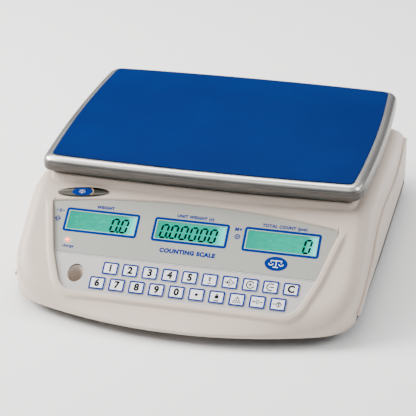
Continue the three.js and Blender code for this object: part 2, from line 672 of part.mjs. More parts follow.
function piece(parent, name, solid, look, position = [0, 0, 0]) {
  const mesh = new THREE.Mesh(geometryOf(solid), look);
  mesh.name = name;
  mesh.position.set(...position);
  parent.add(mesh);
  return mesh;
}

piece(scale, "upper_cover", upperCover(), MATERIALS.housing);
piece(scale, "lower_base", lowerBase(), MATERIALS.base);

piece(consoleGroup, "display_panel", displayPanel(), MATERIALS.lensPrint);
piece(consoleGroup, "display_window", displayWindow(), MATERIALS.clear);
for (const [name, across] of Object.entries(LCD_CENTRES)) piece(consoleGroup, name, lcdModule(across), MATERIALS.lcd);
piece(consoleGroup, "display_board", displayBoard(), MATERIALS.circuit);
piece(consoleGroup, "keypad_overlay", keypadOverlay(), MATERIALS.keypadPrint);
piece(consoleGroup, "keypad_board", keypadBoard(), MATERIALS.circuit);
piece(consoleGroup, "charge_led", chargeLed(), MATERIALS.led, [LED_SPOT.across, -LED_SPOT.down, 0]);
piece(consoleGroup, "name_badge", nameBadge(), MATERIALS.badge, [BADGE.across, -BADGE.down, 1.4]);
eachKey((name, across, down) => piece(consoleGroup, `key_${name}`, keyPiece(), MATERIALS.keyCap, [across, -down, 0]));

piece(scale, "level_vial", levelVial(), MATERIALS.clear);
piece(scale, "load_cell", loadCell(), MATERIALS.aluminium);
piece(scale, "load_cell_spacer", loadCellSpacer(), MATERIALS.aluminium);
piece(scale, "battery", battery(), MATERIALS.battery);
piece(scale, "battery_bracket", batteryBracket(), MATERIALS.zinc);
piece(scale, "main_board", mainBoard(), MATERIALS.circuit);
piece(scale, "power_inlet", powerInlet(), MATERIALS.blackPlastic);
piece(scale, "switch_housing", switchHousing(), MATERIALS.blackPlastic);
const rocker = piece(scale, "switch_rocker", switchRocker(), MATERIALS.blackPlastic, [SWITCH.x, SWITCH.y, 12.6]);
rocker.rotation.y = THREE.MathUtils.degToRad(8);
for (const { name, x, y } of SCREWS) piece(scale, `cover_screw_${name}`, coverScrew(x, y), MATERIALS.zinc);

piece(scale, "platform_spider", platformSpider(), MATERIALS.aluminium);
const corners = ["front_left", "rear_left", "front_right", "rear_right"];
eachPost((x, y) => piece(scale, `platform_bush_${corners.shift()}`, platformBush(x, y), MATERIALS.rubber));
piece(scale, "weighing_pan", weighingPan(), MATERIALS.steel);
piece(scale, "pan_film", panFilm(), MATERIALS.film);

for (const { name, x, y } of FEET) {
  piece(scale, `foot_pad_${name}`, footPad(x, y), MATERIALS.rubber);
  piece(scale, `foot_screw_${name}`, footScrew(x, y), MATERIALS.blackPlastic);
}

export default scale;
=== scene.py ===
import math

import bmesh
import bpy
import numpy as np
from mathutils import Matrix, Vector, geometry


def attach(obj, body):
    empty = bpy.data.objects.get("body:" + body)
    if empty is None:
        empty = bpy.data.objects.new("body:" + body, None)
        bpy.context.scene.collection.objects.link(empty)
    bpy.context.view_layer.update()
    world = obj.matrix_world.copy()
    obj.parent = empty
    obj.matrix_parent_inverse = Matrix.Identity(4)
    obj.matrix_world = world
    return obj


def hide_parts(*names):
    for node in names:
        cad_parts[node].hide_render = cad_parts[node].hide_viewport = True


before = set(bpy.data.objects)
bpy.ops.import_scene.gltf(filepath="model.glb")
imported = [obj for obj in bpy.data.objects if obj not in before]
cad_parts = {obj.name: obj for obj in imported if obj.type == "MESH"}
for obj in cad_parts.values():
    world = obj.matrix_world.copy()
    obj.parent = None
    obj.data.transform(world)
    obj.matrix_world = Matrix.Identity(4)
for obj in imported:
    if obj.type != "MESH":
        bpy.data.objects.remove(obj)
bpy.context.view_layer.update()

# ------------------------ dimensions, in millimetres
MM = 0.001
HALF_WIDTH = 152.0
HALF_DEPTH = 177.5
FLOOR = 10.0
FRONT_BOW = 345.0
REAR_CORNER = 25.0
ROUND = 13.0
WALL = 1.6
TOP = 110.0
PAN_Y = 37.5
PAN_HALF = (147.0, 114.0)
PAN_BOW = 4.3
PAN_CORNER = 12.0
PAN_DROP = 13.2
PAN_ROLL = 6.4
FILM_DEPTH = 0.8
TILT = math.radians(36)
CONSOLE_Y = -82.5
CONSOLE_Z = 75.65
CONSOLE_LIFT = 1.2
DECK = 87.0
PLATEAU_TOP = 92.0
PLATEAU_INSET = 6.5
WING = (-124.4, 151.0)
WING_FACE = 154.0
WING_FLOOR = 17.0
LEVEL = (-92.4, -138.7, 7.0)
WELL_FLOOR = 21.5
INLET = (95.0, 24.0)
INLET_RADIUS = 6.2
POSTS = [(sx * 105.0, PAN_Y + sy * 75.0) for sx in (-1, 1) for sy in (-1, 1)]
KEY = (14.0, 12.0)
KEY_PITCH = 17.62
KEY_ROWS = (
    (-62.4, 62.1, "1 2 3 4 5 unit_set tare_set memory_add memory_show clear"),
    (-71.15, 76.9, "6 7 8 9 0 point unit_weight sample zero tare"),
)
# each display's place across, its reading and where the reading ends, from the display's middle
LCDS = {
    "lcd_weight": (-80.4, "0.0", 20.2),
    "lcd_unit_weight": (0.0, "0.00000", 19.6),
    "lcd_count": (80.4, "0", 22.2),
}
LCD_DOWN = 19.5
PRINT_DEPTH = 0.05
SIGN_LINE = 0.95
SIGN_LIFT = 0.57
WINDOW = (60.8, 17.4)
LED = (-106.8, 39.2)
BADGE = (-103.3, -7.8, 23.4, 4.9)
BADGE_TURN = math.radians(6.5)
EMBLEM = (79.2, 39.8)
FEET = {
    "front_left": (-118.0, -108.0),
    "front_right": (118.0, -108.0),
    "rear_left": (-118.0, 142.0),
    "rear_right": (118.0, 142.0),
}
THREAD_PITCH = 1.25
COS, TAN = math.cos(TILT), math.tan(TILT)
CONSOLE = Matrix.Translation((0, CONSOLE_Y, CONSOLE_Z)) @ Matrix.Rotation(TILT, 4, "X")


# ------------------------ node helpers
def new_material(name):
    made = bpy.data.materials.new(name)
    made.use_nodes = True
    nodes = made.node_tree.nodes
    return made, made.node_tree, nodes["Principled BSDF"]


def add_node(tree, kind, links=(), **values):
    """A node of that kind. Values name its inputs or its own properties, links its input sources."""
    node = tree.nodes.new(kind)
    for key, value in values.items():
        if hasattr(node, key):
            setattr(node, key, value)
        else:
            node.inputs[key.replace("_", " ")].default_value = value
    for key, source in links:
        tree.links.new(source, node.inputs[key])
    return node


def coordinates(tree, scale=(1, 1, 1)):
    """Object coordinates in metres, scaled per axis."""
    source = add_node(tree, "ShaderNodeTexCoord")
    mapping = add_node(tree, "ShaderNodeMapping", [("Vector", source.outputs["Object"])])
    mapping.inputs["Scale"].default_value = scale
    return mapping.outputs["Vector"]


def noise(tree, where, scale, detail=3.0, roughness=0.5):
    node = add_node(tree, "ShaderNodeTexNoise", [("Vector", where)])
    node.inputs["Scale"].default_value = scale
    node.inputs["Detail"].default_value = detail
    node.inputs["Roughness"].default_value = roughness
    return node.outputs["Fac"]


def ramp(tree, source, low, high, to_low=0.0, to_high=1.0):
    node = add_node(tree, "ShaderNodeMapRange", [("Value", source)])
    for key, value in (("From Min", low), ("From Max", high), ("To Min", to_low), ("To Max", to_high)):
        node.inputs[key].default_value = value
    return node.outputs["Result"]


def blend_colour(tree, factor, a, b):
    node = add_node(tree, "ShaderNodeMix", data_type="RGBA")
    tree.links.new(factor, node.inputs["Factor"])
    for socket, value in (("A", a), ("B", b)):
        target = [s for s in node.inputs if s.name == socket and s.type == "RGBA"][0]
        if isinstance(value, tuple):
            target.default_value = (*value, 1)
        else:
            tree.links.new(value, target)
    return [s for s in node.outputs if s.type == "RGBA"][0]


def bump(tree, shader, height, distance, strength=1.0):
    node = add_node(tree, "ShaderNodeBump", [("Height", height)])
    node.inputs["Distance"].default_value = distance
    node.inputs["Strength"].default_value = strength
    tree.links.new(node.outputs["Normal"], shader.inputs["Normal"])


def put(tree, shader, **sockets):
    """Fill inputs of a shader: an output of another node is linked, a plain value is set."""
    for key, value in sockets.items():
        socket = shader.inputs[key.replace("_", " ")]
        if isinstance(value, bpy.types.NodeSocket):
            tree.links.new(value, socket)
        else:
            socket.default_value = value


def total(tree, a, b):
    node = add_node(tree, "ShaderNodeMath", operation="ADD")
    tree.links.new(a, node.inputs[0])
    tree.links.new(b, node.inputs[1])
    return node.outputs[0]


def from_middle(tree):
    """Distance from the middle of the piece's own box, whose sides are 1 long."""
    source = add_node(tree, "ShaderNodeTexCoord")
    away = add_node(tree, "ShaderNodeVectorMath", operation="DISTANCE")
    tree.links.new(source.outputs["Generated"], away.inputs[0])
    away.inputs[1].default_value = (0.5, 0.5, 0.5)
    return away.outputs["Value"]


def srgb(*levels):
    """Linear colour of three 8-bit display levels."""
    return tuple(c / 255 / 12.92 if c <= 10 else ((c / 255 + 0.055) / 1.055) ** 2.4 for c in levels)


# ------------------------ materials
def plastic(name, colour, roughness, grain=900, depth=0.00004, mottle=0.03, **sockets):
    """Moulded plastic: a spark-eroded grain, faint colour mottling and uneven gloss."""
    made, tree, shader = new_material(name)
    where = coordinates(tree)
    darker = tuple(c * (1 - 2 * mottle) for c in colour)
    lighter = tuple(min(c * (1 + mottle), 1) for c in colour)
    base = blend_colour(tree, ramp(tree, noise(tree, where, 18, 3), 0.35, 0.65), darker, lighter)
    gloss = ramp(tree, noise(tree, where, 140, 2), 0.3, 0.7, roughness - 0.04, roughness + 0.05)
    put(tree, shader, Base_Color=base, Roughness=gloss, **sockets)
    bump(tree, shader, noise(tree, where, grain, 4), depth)
    return made


def printed(name, colour, roughness=0.4, specular=0.12, mottle=0.01, grain=1600, depth=0.00001):
    """Printed or satin sheet: plastic with a very fine grain and little reflection."""
    return plastic(name, colour, roughness, grain, depth, mottle, Specular_IOR_Level=specular)


def brushed(name, colour, roughness, along=(1, 1, 1), depth=0.00003):
    """Brushed metal: streaks that are long in one direction, with a few stronger scratches."""
    made, tree, shader = new_material(name)
    streaks = noise(tree, coordinates(tree, along), 900, 4, 0.6)
    scratches = noise(tree, coordinates(tree, tuple(a * 0.35 for a in along)), 500, 2)
    broad = noise(tree, coordinates(tree), 14, 2)
    dark = tuple(c * 0.9 for c in colour)
    base = blend_colour(tree, ramp(tree, streaks, 0.35, 0.65), dark, colour)
    gloss = ramp(tree, broad, 0.3, 0.7, roughness - 0.05, roughness + 0.06)
    put(tree, shader, Base_Color=base, Roughness=gloss, Metallic=1, Anisotropic=0.45)
    bump(tree, shader, total(tree, streaks, ramp(tree, scratches, 0.62, 0.68, 0, 0.7)), depth)
    return made


def steel_material():
    """Pan steel: finely brushed, with painted reflection and shade: colour painted bright on its upward
    faces and painted dark brown-grey on the upright skirt, standing in for the dark surroundings it
    mirrors.
    """
    made, tree, shader = new_material("pan_steel")
    streaks = noise(tree, coordinates(tree, (0.03, 0.03, 1)), 1400, 4, 0.6)
    scratches = noise(tree, coordinates(tree, (0.02, 0.4, 1)), 420, 2)
    patches = noise(tree, coordinates(tree), 11, 3)
    normal = add_node(tree, "ShaderNodeSeparateXYZ")
    tree.links.new(add_node(tree, "ShaderNodeNewGeometry").outputs["Normal"], normal.inputs[0])
    # Painted shade: faces that turn away from upward get a darker base colour, standing in for the dark
    # reflections on the skirt.
    painted_facing_up = ramp(tree, normal.outputs["Z"], 0.1, 0.75)
    fine = ramp(tree, streaks, 0.3, 0.7)
    painted_dark_skirt = blend_colour(tree, fine, (0.05, 0.044, 0.04), (0.1, 0.09, 0.082))
    painted_bright_top = blend_colour(tree, fine, (0.55, 0.535, 0.51), (0.68, 0.67, 0.65))
    base = blend_colour(tree, painted_facing_up, painted_dark_skirt, painted_bright_top)
    put(tree, shader, Base_Color=base, Roughness=ramp(tree, patches, 0.3, 0.7, 0.27, 0.37), Metallic=1)
    bump(tree, shader, total(tree, streaks, ramp(tree, scratches, 0.64, 0.7, 0, 0.6)), 0.00002)
    return made


def film_material():
    """Thin blue protective film: a faint crossed texture, small ripples and rubbed patches."""
    made, tree, shader = new_material("pan_film")
    where = coordinates(tree)
    rubbed = ramp(tree, noise(tree, where, 9, 5, 0.65), 0.42, 0.66)
    base = blend_colour(tree, rubbed, (0.0, 0.012, 0.092), (0.0, 0.016, 0.108))
    gloss = ramp(tree, rubbed, 0, 1, 0.5, 0.62)
    put(tree, shader, Base_Color=base, Roughness=gloss, Specular_IOR_Level=0.03)
    height = add_node(tree, "ShaderNodeMath", operation="MULTIPLY_ADD")
    tree.links.new(noise(tree, coordinates(tree, (1, 3, 1)), 1500, 2), height.inputs[0])
    height.inputs[1].default_value = 0.12
    tree.links.new(noise(tree, where, 30, 2), height.inputs[2])
    bump(tree, shader, height.outputs[0], 0.0002)
    return made


def lcd_material():
    """Backlit display: teal light, brighter where the lamp sits at the right-hand end."""
    made, tree, shader = new_material("lcd_glow")
    source = add_node(tree, "ShaderNodeTexCoord")
    across = add_node(tree, "ShaderNodeSeparateXYZ", [("Vector", source.outputs["Generated"])]).outputs["X"]
    left = ramp(tree, across, 0.0, 0.5)
    teal = blend_colour(tree, left, (0.0, 0.56, 0.38), (0.0, 0.66, 0.46))
    light = blend_colour(tree, ramp(tree, across, 0.80, 0.97), teal, (0.3, 2.2, 2.0))
    fleck = ramp(tree, noise(tree, coordinates(tree), 260, 3), 0.3, 0.7, 0.94, 1.04)
    put(tree, shader, Emission_Color=light, Emission_Strength=fleck, Roughness=0.25, Specular_IOR_Level=0)
    put(tree, shader, Base_Color=(0.0, 0.05, 0.03, 1))
    return made


def led_material():
    """Lit red lens, yellower and brighter in its middle."""
    made, tree, shader = new_material("charge_glow")
    away = ramp(tree, from_middle(tree), 0.1, 0.5)
    light = blend_colour(tree, away, (1.0, 0.25, 0.12), (1.0, 0.08, 0.04))
    put(tree, shader, Emission_Color=light, Emission_Strength=ramp(tree, away, 0, 1, 9.0, 4.0))
    put(tree, shader, Base_Color=(0.6, 0.1, 0.06, 1))
    return made


def halo_material():
    """Printed sheet round the charge lamp, with a painted red glow close to the lamp: the sheet itself
    emits light.
    """
    made, tree, shader = new_material("lamp_halo")
    # Painted light: emission fading out from the lamp, standing in for its red glow falling on the sheet.
    glow = ramp(tree, from_middle(tree), 0.2, 0.5, 0.8, 0.0)
    put(tree, shader, Base_Color=(*LENS_COLOUR, 1))
    put(tree, shader, Emission_Color=(1.0, 0.16, 0.09, 1), Emission_Strength=glow)
    bump(tree, shader, noise(tree, coordinates(tree), 1600, 3), 0.00001)
    return made


def glass_material(name, tint, index):
    """Clear moulding with faint smears."""
    made, tree, shader = new_material(name)
    smears = ramp(tree, noise(tree, coordinates(tree), 60, 4), 0.4, 0.7, 0.0, 0.04)
    put(tree, shader, Base_Color=(*tint, 1), Transmission_Weight=1, IOR=index, Roughness=smears)
    return made


def circuit_material():
    """Green lacquered board with lighter and darker cells like copper tracks."""
    made, tree, shader = new_material("circuit_board")
    tracks = add_node(tree, "ShaderNodeTexVoronoi", [("Vector", coordinates(tree))], distance="MANHATTAN")
    tracks.inputs["Scale"].default_value = 220
    lines = ramp(tree, tracks.outputs["Distance"], 0.28, 0.34)
    green = blend_colour(tree, lines, srgb(24, 92, 48), srgb(14, 66, 34))
    put(tree, shader, Base_Color=green, Roughness=0.35)
    bump(tree, shader, lines, 0.00003)
    return made


LENS_COLOUR = srgb(162, 163, 158)
CREAM = srgb(206, 190, 177)
HOUSING = plastic("housing_plastic", CREAM, 0.42, 1100, 0.00003, 0.012, Specular_IOR_Level=0.35)
BASE = plastic("base_plastic", srgb(30, 32, 35), 0.55, grain=800, depth=0.00006, mottle=0.06)
BLACK = plastic("black_plastic", srgb(34, 34, 36), 0.42, grain=1000, mottle=0.05)
RUBBER = plastic("rubber", srgb(30, 30, 31), 0.8, grain=500, depth=0.00008, mottle=0.08)
LENS = printed("display_print", LENS_COLOUR, 0.36)
KEYPAD = printed("keypad_print", srgb(193, 190, 188))
CAP = printed("key_cap", srgb(236, 236, 240), 0.38, grain=1400)
BLUE = printed("blue_print", srgb(0, 42, 124), 0.35, 0.03, 0.03)
INK = printed("key_ink", srgb(16, 17, 20), 0.4, 0.03, 0.03)
WHITE_INK = printed("white_print", srgb(235, 238, 242))
SEGMENT = printed("lcd_segment", srgb(0, 14, 12), 0.3, 0.0, 0.05, depth=0.000005)
MARGIN = printed("window_margin", srgb(150, 196, 180), 0.35)
BATTERY = plastic("battery_case", srgb(62, 64, 70), 0.45, grain=900, mottle=0.05)
STEEL = steel_material()
ALUMINIUM = brushed("aluminium", (0.72, 0.72, 0.73), 0.4, (1, 0.1, 1))
ZINC = brushed("zinc", (0.66, 0.65, 0.6), 0.35)
BADGE_METAL = brushed("badge_metal", (0.1, 0.095, 0.08), 0.22, depth=0.00001)
GOLD = brushed("badge_gold", (0.75, 0.5, 0.2), 0.25, depth=0.00001)
FILM = film_material()
GLOW = lcd_material()
LED_GLOW = led_material()
HALO = halo_material()
WINDOW_GLASS = glass_material("window_glass", (1.0, 1.0, 1.0), 1.03)
VIAL = glass_material("vial_glass", (0.75, 0.9, 0.4), 1.3)
CIRCUIT = circuit_material()


# ------------------------ mesh helpers
def add_object(name, data):
    made = bpy.data.objects.new(name, data)
    bpy.context.scene.collection.objects.link(made)
    return made


def piece(name, verts, faces, look, body, nodes=(), angle=35):
    """A mesh from vertices in millimetres, riding on a body; smooth but for edges sharper than angle."""
    mesh = bpy.data.meshes.new(name)
    mesh.from_pydata([tuple(v) for v in verts], [], [tuple(f) for f in faces])
    mesh.transform(Matrix.Scale(MM, 4))
    return finish_piece(name, mesh, look, body, nodes, angle)


def finish_piece(name, mesh, look, body, nodes=(), angle=35):
    """The object of a finished mesh, with its material, its body and the CAD nodes it replaces."""
    mesh.validate()
    mesh.use_auto_texspace = True
    tidy = bmesh.new()
    tidy.from_mesh(mesh)
    bmesh.ops.recalc_face_normals(tidy, faces=tidy.faces)
    tidy.to_mesh(mesh)
    tidy.free()
    made = add_object(name, mesh)
    mesh.materials.clear()
    mesh.materials.append(look)
    mesh.shade_smooth()
    mesh.set_sharp_from_angle(angle=math.radians(angle))
    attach(made, body)
    if nodes:
        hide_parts(*nodes)
    return made


def curve_mesh(loops, depth, bevel=0.0, resolution=2, lift=0.0):
    """A plate with holes, from lift up to lift + depth: closed loops filled by the even-odd rule."""
    curve = bpy.data.curves.new("plate", "CURVE")
    curve.dimensions = "2D"
    curve.fill_mode = "BOTH"
    curve.extrude = max(depth / 2 - bevel, 0.0)
    curve.bevel_depth = bevel
    curve.bevel_resolution = resolution
    curve.offset = -bevel
    for loop in loops:
        spline = curve.splines.new("POLY")
        spline.points.add(len(loop) - 1)
        spline.points.foreach_set("co", [c for x, y in loop for c in (x, y, 0.0, 1.0)])
        spline.use_cyclic_u = True
    return mesh_of_curve(curve, lift + depth / 2)


def mesh_of_curve(curve, lift):
    """The curve's mesh, raised by lift; the curve itself is removed."""
    holder = bpy.data.objects.new("holder", curve)
    bpy.context.scene.collection.objects.link(holder)
    bpy.context.view_layer.update()
    mesh = bpy.data.meshes.new_from_object(holder.evaluated_get(bpy.context.evaluated_depsgraph_get()))
    bpy.data.objects.remove(holder)
    bpy.data.curves.remove(curve)
    mesh.transform(Matrix.Translation((0, 0, lift)))
    return mesh


def text_mesh(words, size, bold, stretch=1.0):
    """Lettering centred on the origin, in millimetres."""
    curve = bpy.data.curves.new("text", "FONT")
    curve.body = words
    curve.size = size
    curve.align_x = "CENTER"
    curve.align_y = "CENTER"
    curve.extrude = PRINT_DEPTH / 2
    curve.offset = bold
    curve.space_character = 1.12
    curve.resolution_u = 5
    mesh = mesh_of_curve(curve, PRINT_DEPTH / 2)
    mesh.transform(Matrix.Diagonal((stretch, 1, 1, 1)))
    return mesh


def join_meshes(parts):
    """One mesh of several, each given as (mesh, across, up) in millimetres."""
    whole = bmesh.new()
    for mesh, across, up in parts:
        mesh.transform(Matrix.Translation((across, up, 0)))
        whole.from_mesh(mesh)
        bpy.data.meshes.remove(mesh)
    joined = bpy.data.meshes.new("joined")
    whole.to_mesh(joined)
    whole.free()
    return joined


def on_console(name, mesh, look, body, nodes=()):
    """A mesh drawn in console millimetres (across, up the slope, out), placed on the console."""
    mesh.transform(Matrix.Scale(MM, 4) @ CONSOLE)
    return finish_piece(name, mesh, look, body, nodes)


def rounded(x, y, width, depth, radius, steps=6):
    points = []
    for k, (sx, sy) in enumerate(((1, -1), (1, 1), (-1, 1), (-1, -1))):
        cx, cy = x + sx * (width / 2 - radius), y + sy * (depth / 2 - radius)
        for step in range(steps + 1):
            angle = (k - 1 + step / steps) * math.pi / 2
            points.append((cx + radius * math.cos(angle), cy + radius * math.sin(angle)))
    return points


def ellipse(x, y, a, b, count=64):
    turns = np.linspace(0, 2 * math.pi, count, endpoint=False)
    return [(x + a * math.cos(t), y + b * math.sin(t)) for t in turns]


def circle(x, y, radius, count=48):
    return np.array(ellipse(x, y, radius, radius, count))


def ring_faces(rows, count):
    """Faces between successive closed rings of count vertices each."""
    faces = []
    for k in range(rows - 1):
        for i in range(count):
            j = (i + 1) % count
            faces.append((k * count + i, k * count + j, (k + 1) * count + j, (k + 1) * count + i))
    return faces


def capped_faces(rows, count):
    """Faces of a closed body through rings of vertices, capped at the first and the last."""
    last = (rows - 1) * count
    return ring_faces(rows, count) + [tuple(reversed(range(count))), tuple(range(last, last + count))]


def lathe(name, profile, x, y, look, body, nodes=(), segments=64, ribs=()):
    """A turned piece about the vertical through (x, y).

    ribs = (first row, last row, count, depth) cuts grip notches into those rows of the profile.
    """
    verts = []
    for k, (radius, height) in enumerate(profile):
        for turn in np.arange(segments) * 2 * math.pi / segments:
            reach = radius
            if ribs and ribs[0] <= k <= ribs[1]:
                reach -= ribs[3] * max(0.0, math.cos(turn * ribs[2])) ** 2
            verts.append((x + reach * math.cos(turn), y + reach * math.sin(turn), height))
    return piece(name, verts, capped_faces(len(profile), segments), look, body, nodes)


# ------------------------ housing form
def smooth_min(a, b, k):
    """The lower of two heights, rounded over a width of about k where they cross."""
    h = np.maximum(k - np.abs(a - b), 0) / k
    return np.minimum(a, b) - h * h * k / 4


def crest(y):
    """Height of the housing along its length: nose, console slope, deck and falling rear."""
    slope = CONSOLE_Z + CONSOLE_LIFT + (y - CONSOLE_Y) * TAN
    nose = 14 + (y + HALF_DEPTH) * 0.3
    rear = 80.5 - (y - 122.5) * 0.49
    return smooth_min(smooth_min(-smooth_min(-slope, -nose, 4), DECK, 8), rear, 12)


def shoulder(top):
    """Height where the upright wall turns into the top, for a top surface of that height."""
    return 12 + 61 * (np.maximum(top - 20, 0) / 67) ** 1.05


def bend(a, b, c, count):
    """Points on the quadratic curve from a to c that bends towards b."""
    return [(1 - t) ** 2 * a + 2 * t * (1 - t) * b + t * t * c for t in np.linspace(0, 1, count)]


def half_outline():
    """Right half of the plan outline from the front's middle to the back's middle."""
    edge = lambda x: -HALF_DEPTH + max(x * x - 225, 0) / (2 * FRONT_BOW)
    points = [(x, edge(x)) for x in np.linspace(0, 120, 41)]
    start, end = np.array((122.0, edge(122))), np.array((HALF_WIDTH, -112.0))
    control = np.array((HALF_WIDTH, start[1] + (HALF_WIDTH - 122) * 122 / FRONT_BOW))
    points += [tuple(p) for p in bend(start, control, end, 25)]
    points += [(HALF_WIDTH, y) for y in np.linspace(-108, 150, 66)]
    centre = (HALF_WIDTH - REAR_CORNER, HALF_DEPTH - REAR_CORNER)
    for t in np.linspace(0, math.pi / 2, 17):
        points.append((centre[0] + REAR_CORNER * math.cos(t), centre[1] + REAR_CORNER * math.sin(t)))
    points += [(x, HALF_DEPTH) for x in np.linspace(123, 0, 32)]
    return np.array(points)


def mirror_loop(half):
    """A closed counter-clockwise loop from its right half."""
    left = half[1:-1][::-1] * (-1, 1)
    return np.vstack((half, left))


def normals_of(loop):
    along = np.roll(loop, -1, 0) - np.roll(loop, 1, 0)
    out = np.stack((along[:, 1], -along[:, 0]), 1)
    return out / np.linalg.norm(out, axis=1)[:, None]


def signed_distance(points, loop):
    """Distance to a closed counter-clockwise loop, negative inside."""
    result = np.empty(len(points))
    a, b = loop, np.roll(loop, -1, 0)
    ab = b - a
    length = (ab**2).sum(1)
    for start in range(0, len(points), 4000):
        p = points[start : start + 4000, None, :]
        t = np.clip(((p - a) * ab).sum(2) / length, 0, 1)
        near = np.sqrt((((a + t[..., None] * ab) - p) ** 2).sum(2)).min(1)
        rise = np.where(ab[:, 1] == 0, 1e-9, ab[:, 1])
        crosses = (a[:, 1] > p[..., 1]) != (b[:, 1] > p[..., 1])
        crosses &= p[..., 0] < a[:, 0] + (p[..., 1] - a[:, 1]) * ab[:, 0] / rise
        inside = crosses.sum(1) % 2 == 1
        result[start : start + 4000] = np.where(inside, -near, near)
    return result


OUTLINE = mirror_loop(half_outline())
OUT_NORMAL = normals_of(OUTLINE)


def panel_side(down):
    """Half width of the console recess at a distance down the slope."""
    low = 115.8 - 0.36 * (down - 51.5) - 0.0015 * (down - 51.5) ** 2
    return np.where(down < 51.5, 129.1 - 0.258 * down, low)


def panel_loop(grow=0.0, top=None, bottom=88.0, corner=9.0):
    """Outline of the console recess in (across, up) console millimetres, from top to bottom."""
    right = []
    low = float(panel_side(bottom))
    if corner:
        right.append((0.0, -bottom))
        right += [(x, -bottom) for x in np.linspace(6, low - corner * 1.1 - 2, 34)]
        a = np.array((low - corner * 1.1, -bottom))
        c = np.array((float(panel_side(bottom - corner)), -(bottom - corner)))
        b = np.array((low - 1.0, -bottom))
        right += [tuple(p) for p in bend(a, b, c, 10)]
    else:
        right += [(x, -bottom) for x in np.linspace(0, low, 40)]
    first = 3.6 if top is None else top
    for down in np.linspace(bottom - corner - 2, first, 36):
        right.append((float(panel_side(down)), -down))
    if top is None:
        right += [(x, 7.3 - 0.000635 * x * x) for x in np.linspace(125, 0, 40)]
    else:
        right.append((0.0, -top))
    loop = mirror_loop(np.array(right))
    return loop + normals_of(loop) * grow if grow else loop


PANEL = panel_loop()


def pan_loop(inset, count=26):
    """The pan's outline: four bowed edges and round corners, inset by the given amount."""
    radius = max(PAN_CORNER - inset, 2.0)
    points = []
    for quarter in range(4):
        out, along = (PAN_HALF if quarter % 2 == 0 else PAN_HALF[::-1])
        out, along = out - inset, along - inset
        reach = (along - PAN_BOW - radius) / along
        turn = quarter * math.pi / 2
        shares = np.linspace(-1, 1, count) * reach
        local = [(out - PAN_BOW * t**2, t * along) for t in shares]
        centre = (out - PAN_BOW * reach**2 - radius, reach * along)
        for step in np.linspace(0, math.pi / 2, 14)[1:-1]:
            local.append((centre[0] + radius * math.cos(step), centre[1] + radius * math.sin(step)))
        c, s = math.cos(turn), math.sin(turn)
        points += [(a * c - b * s, a * s + b * c) for a, b in local]
    return np.array(points) + (0, PAN_Y)


PLATEAU = pan_loop(PLATEAU_INSET)


def console_of(points):
    """Plan points as (across, up) on the console plane."""
    return np.stack((points[:, 0], (points[:, 1] - CONSOLE_Y) / COS), 1)


RIM_WIDTH = 6.8
RIM_HEIGHT = 2.1
TRAY_FILLET = 1.4
TRAY_ROUND = 2.5


def rim_profile(g):
    """Height of the raised rim at distance g outside the console recess."""
    inner = np.clip((g - 0.5) / 0.8, 0, 1)
    outer = np.clip((RIM_WIDTH + 0.6 - g) / 1.8, 0, 1)
    crown = 1 - 0.25 * ((g - 3.6) / 3.4) ** 2
    ease = lambda t: t * t * (3 - 2 * t)
    return RIM_HEIGHT * np.sqrt(1 - (1 - inner) ** 2) * ease(outer) * crown


def quarter_round(radius, inward):
    """Rise of a convex quarter round of that radius at a distance in from its edge."""
    return np.sqrt(np.maximum(radius**2 - (radius - np.clip(inward, 0, radius)) ** 2, 0))


def cover_height(points):
    """Height of the housing's top surface over plan points, with its recess, rim and raised tray."""
    distance = np.maximum(-signed_distance(points, OUTLINE), 0)
    top = crest(points[:, 1])
    edge = shoulder(top)
    z = edge + (top - edge) * quarter_round(1.0, distance / ROUND)
    flat = console_of(points)
    g = signed_distance(flat, PANEL)
    fade = np.clip((-flat[:, 1] - 2) / 16, 0, 1)
    fade = fade * fade * (3 - 2 * fade)
    z = z + rim_profile(g) * fade / COS * (distance > 0.01)
    floor = CONSOLE_Z + (points[:, 1] - CONSOLE_Y) * TAN - 1.5 / COS
    z = np.where(g < 0.42, floor, z)
    e = signed_distance(points, PLATEAU)
    foot = z + TRAY_FILLET - quarter_round(TRAY_FILLET, e - 0.5)
    step_top = PLATEAU_TOP - TRAY_ROUND
    wall = np.interp(e, (0, 0.5), (1, 0)) * (step_top - (z + TRAY_FILLET)) + z + TRAY_FILLET
    z = np.where(e < TRAY_FILLET + 0.5, foot, z)
    z = np.where(e < 0.5, wall, z)
    return np.where(e <= 0, step_top + quarter_round(TRAY_ROUND, -e), z)


def resample(loop, spacing):
    """The closed loop with evenly spaced points."""
    closed = np.vstack((loop, loop[:1]))
    run = np.concatenate(([0], np.cumsum(np.linalg.norm(np.diff(closed, axis=0), axis=1))))
    count = int(run[-1] / spacing)
    at = np.linspace(0, run[-1], count, endpoint=False)
    return np.stack((np.interp(at, run, closed[:, 0]), np.interp(at, run, closed[:, 1])), 1)


RIM_RINGS = (-3, -1, 0.38, 0.46, 0.55, 0.7, 0.9, 1.3, 2, 3, 4, 5, 5.6, 6, 6.4, 6.8, 7.2, 7.6)
TRAY_RINGS = (-2.5, -2.3, -1.8, -1.2, -0.6, 0, 0.5, 0.7, 1.0, 1.4, 1.9, 3, 5)


def full_ring(loop):
    """A ring of which every point is kept."""
    return loop, np.ones(len(loop), bool)


def console_rings():
    """Rings along the console recess, without the points that come near the housing's edge or the tray."""
    ring = resample(PANEL, 2.2)
    out = normals_of(ring)
    rings = []
    for g in RIM_RINGS:
        at = ring + out * g
        clear = (signed_distance(at, PANEL) > g - 0.02) | (g < 0)
        at = np.stack((at[:, 0], CONSOLE_Y + at[:, 1] * COS), 1)
        clear &= (signed_distance(at, OUTLINE) < -0.25) & (signed_distance(at, PLATEAU) > 5.2)
        rings.append((at, clear))
    return rings


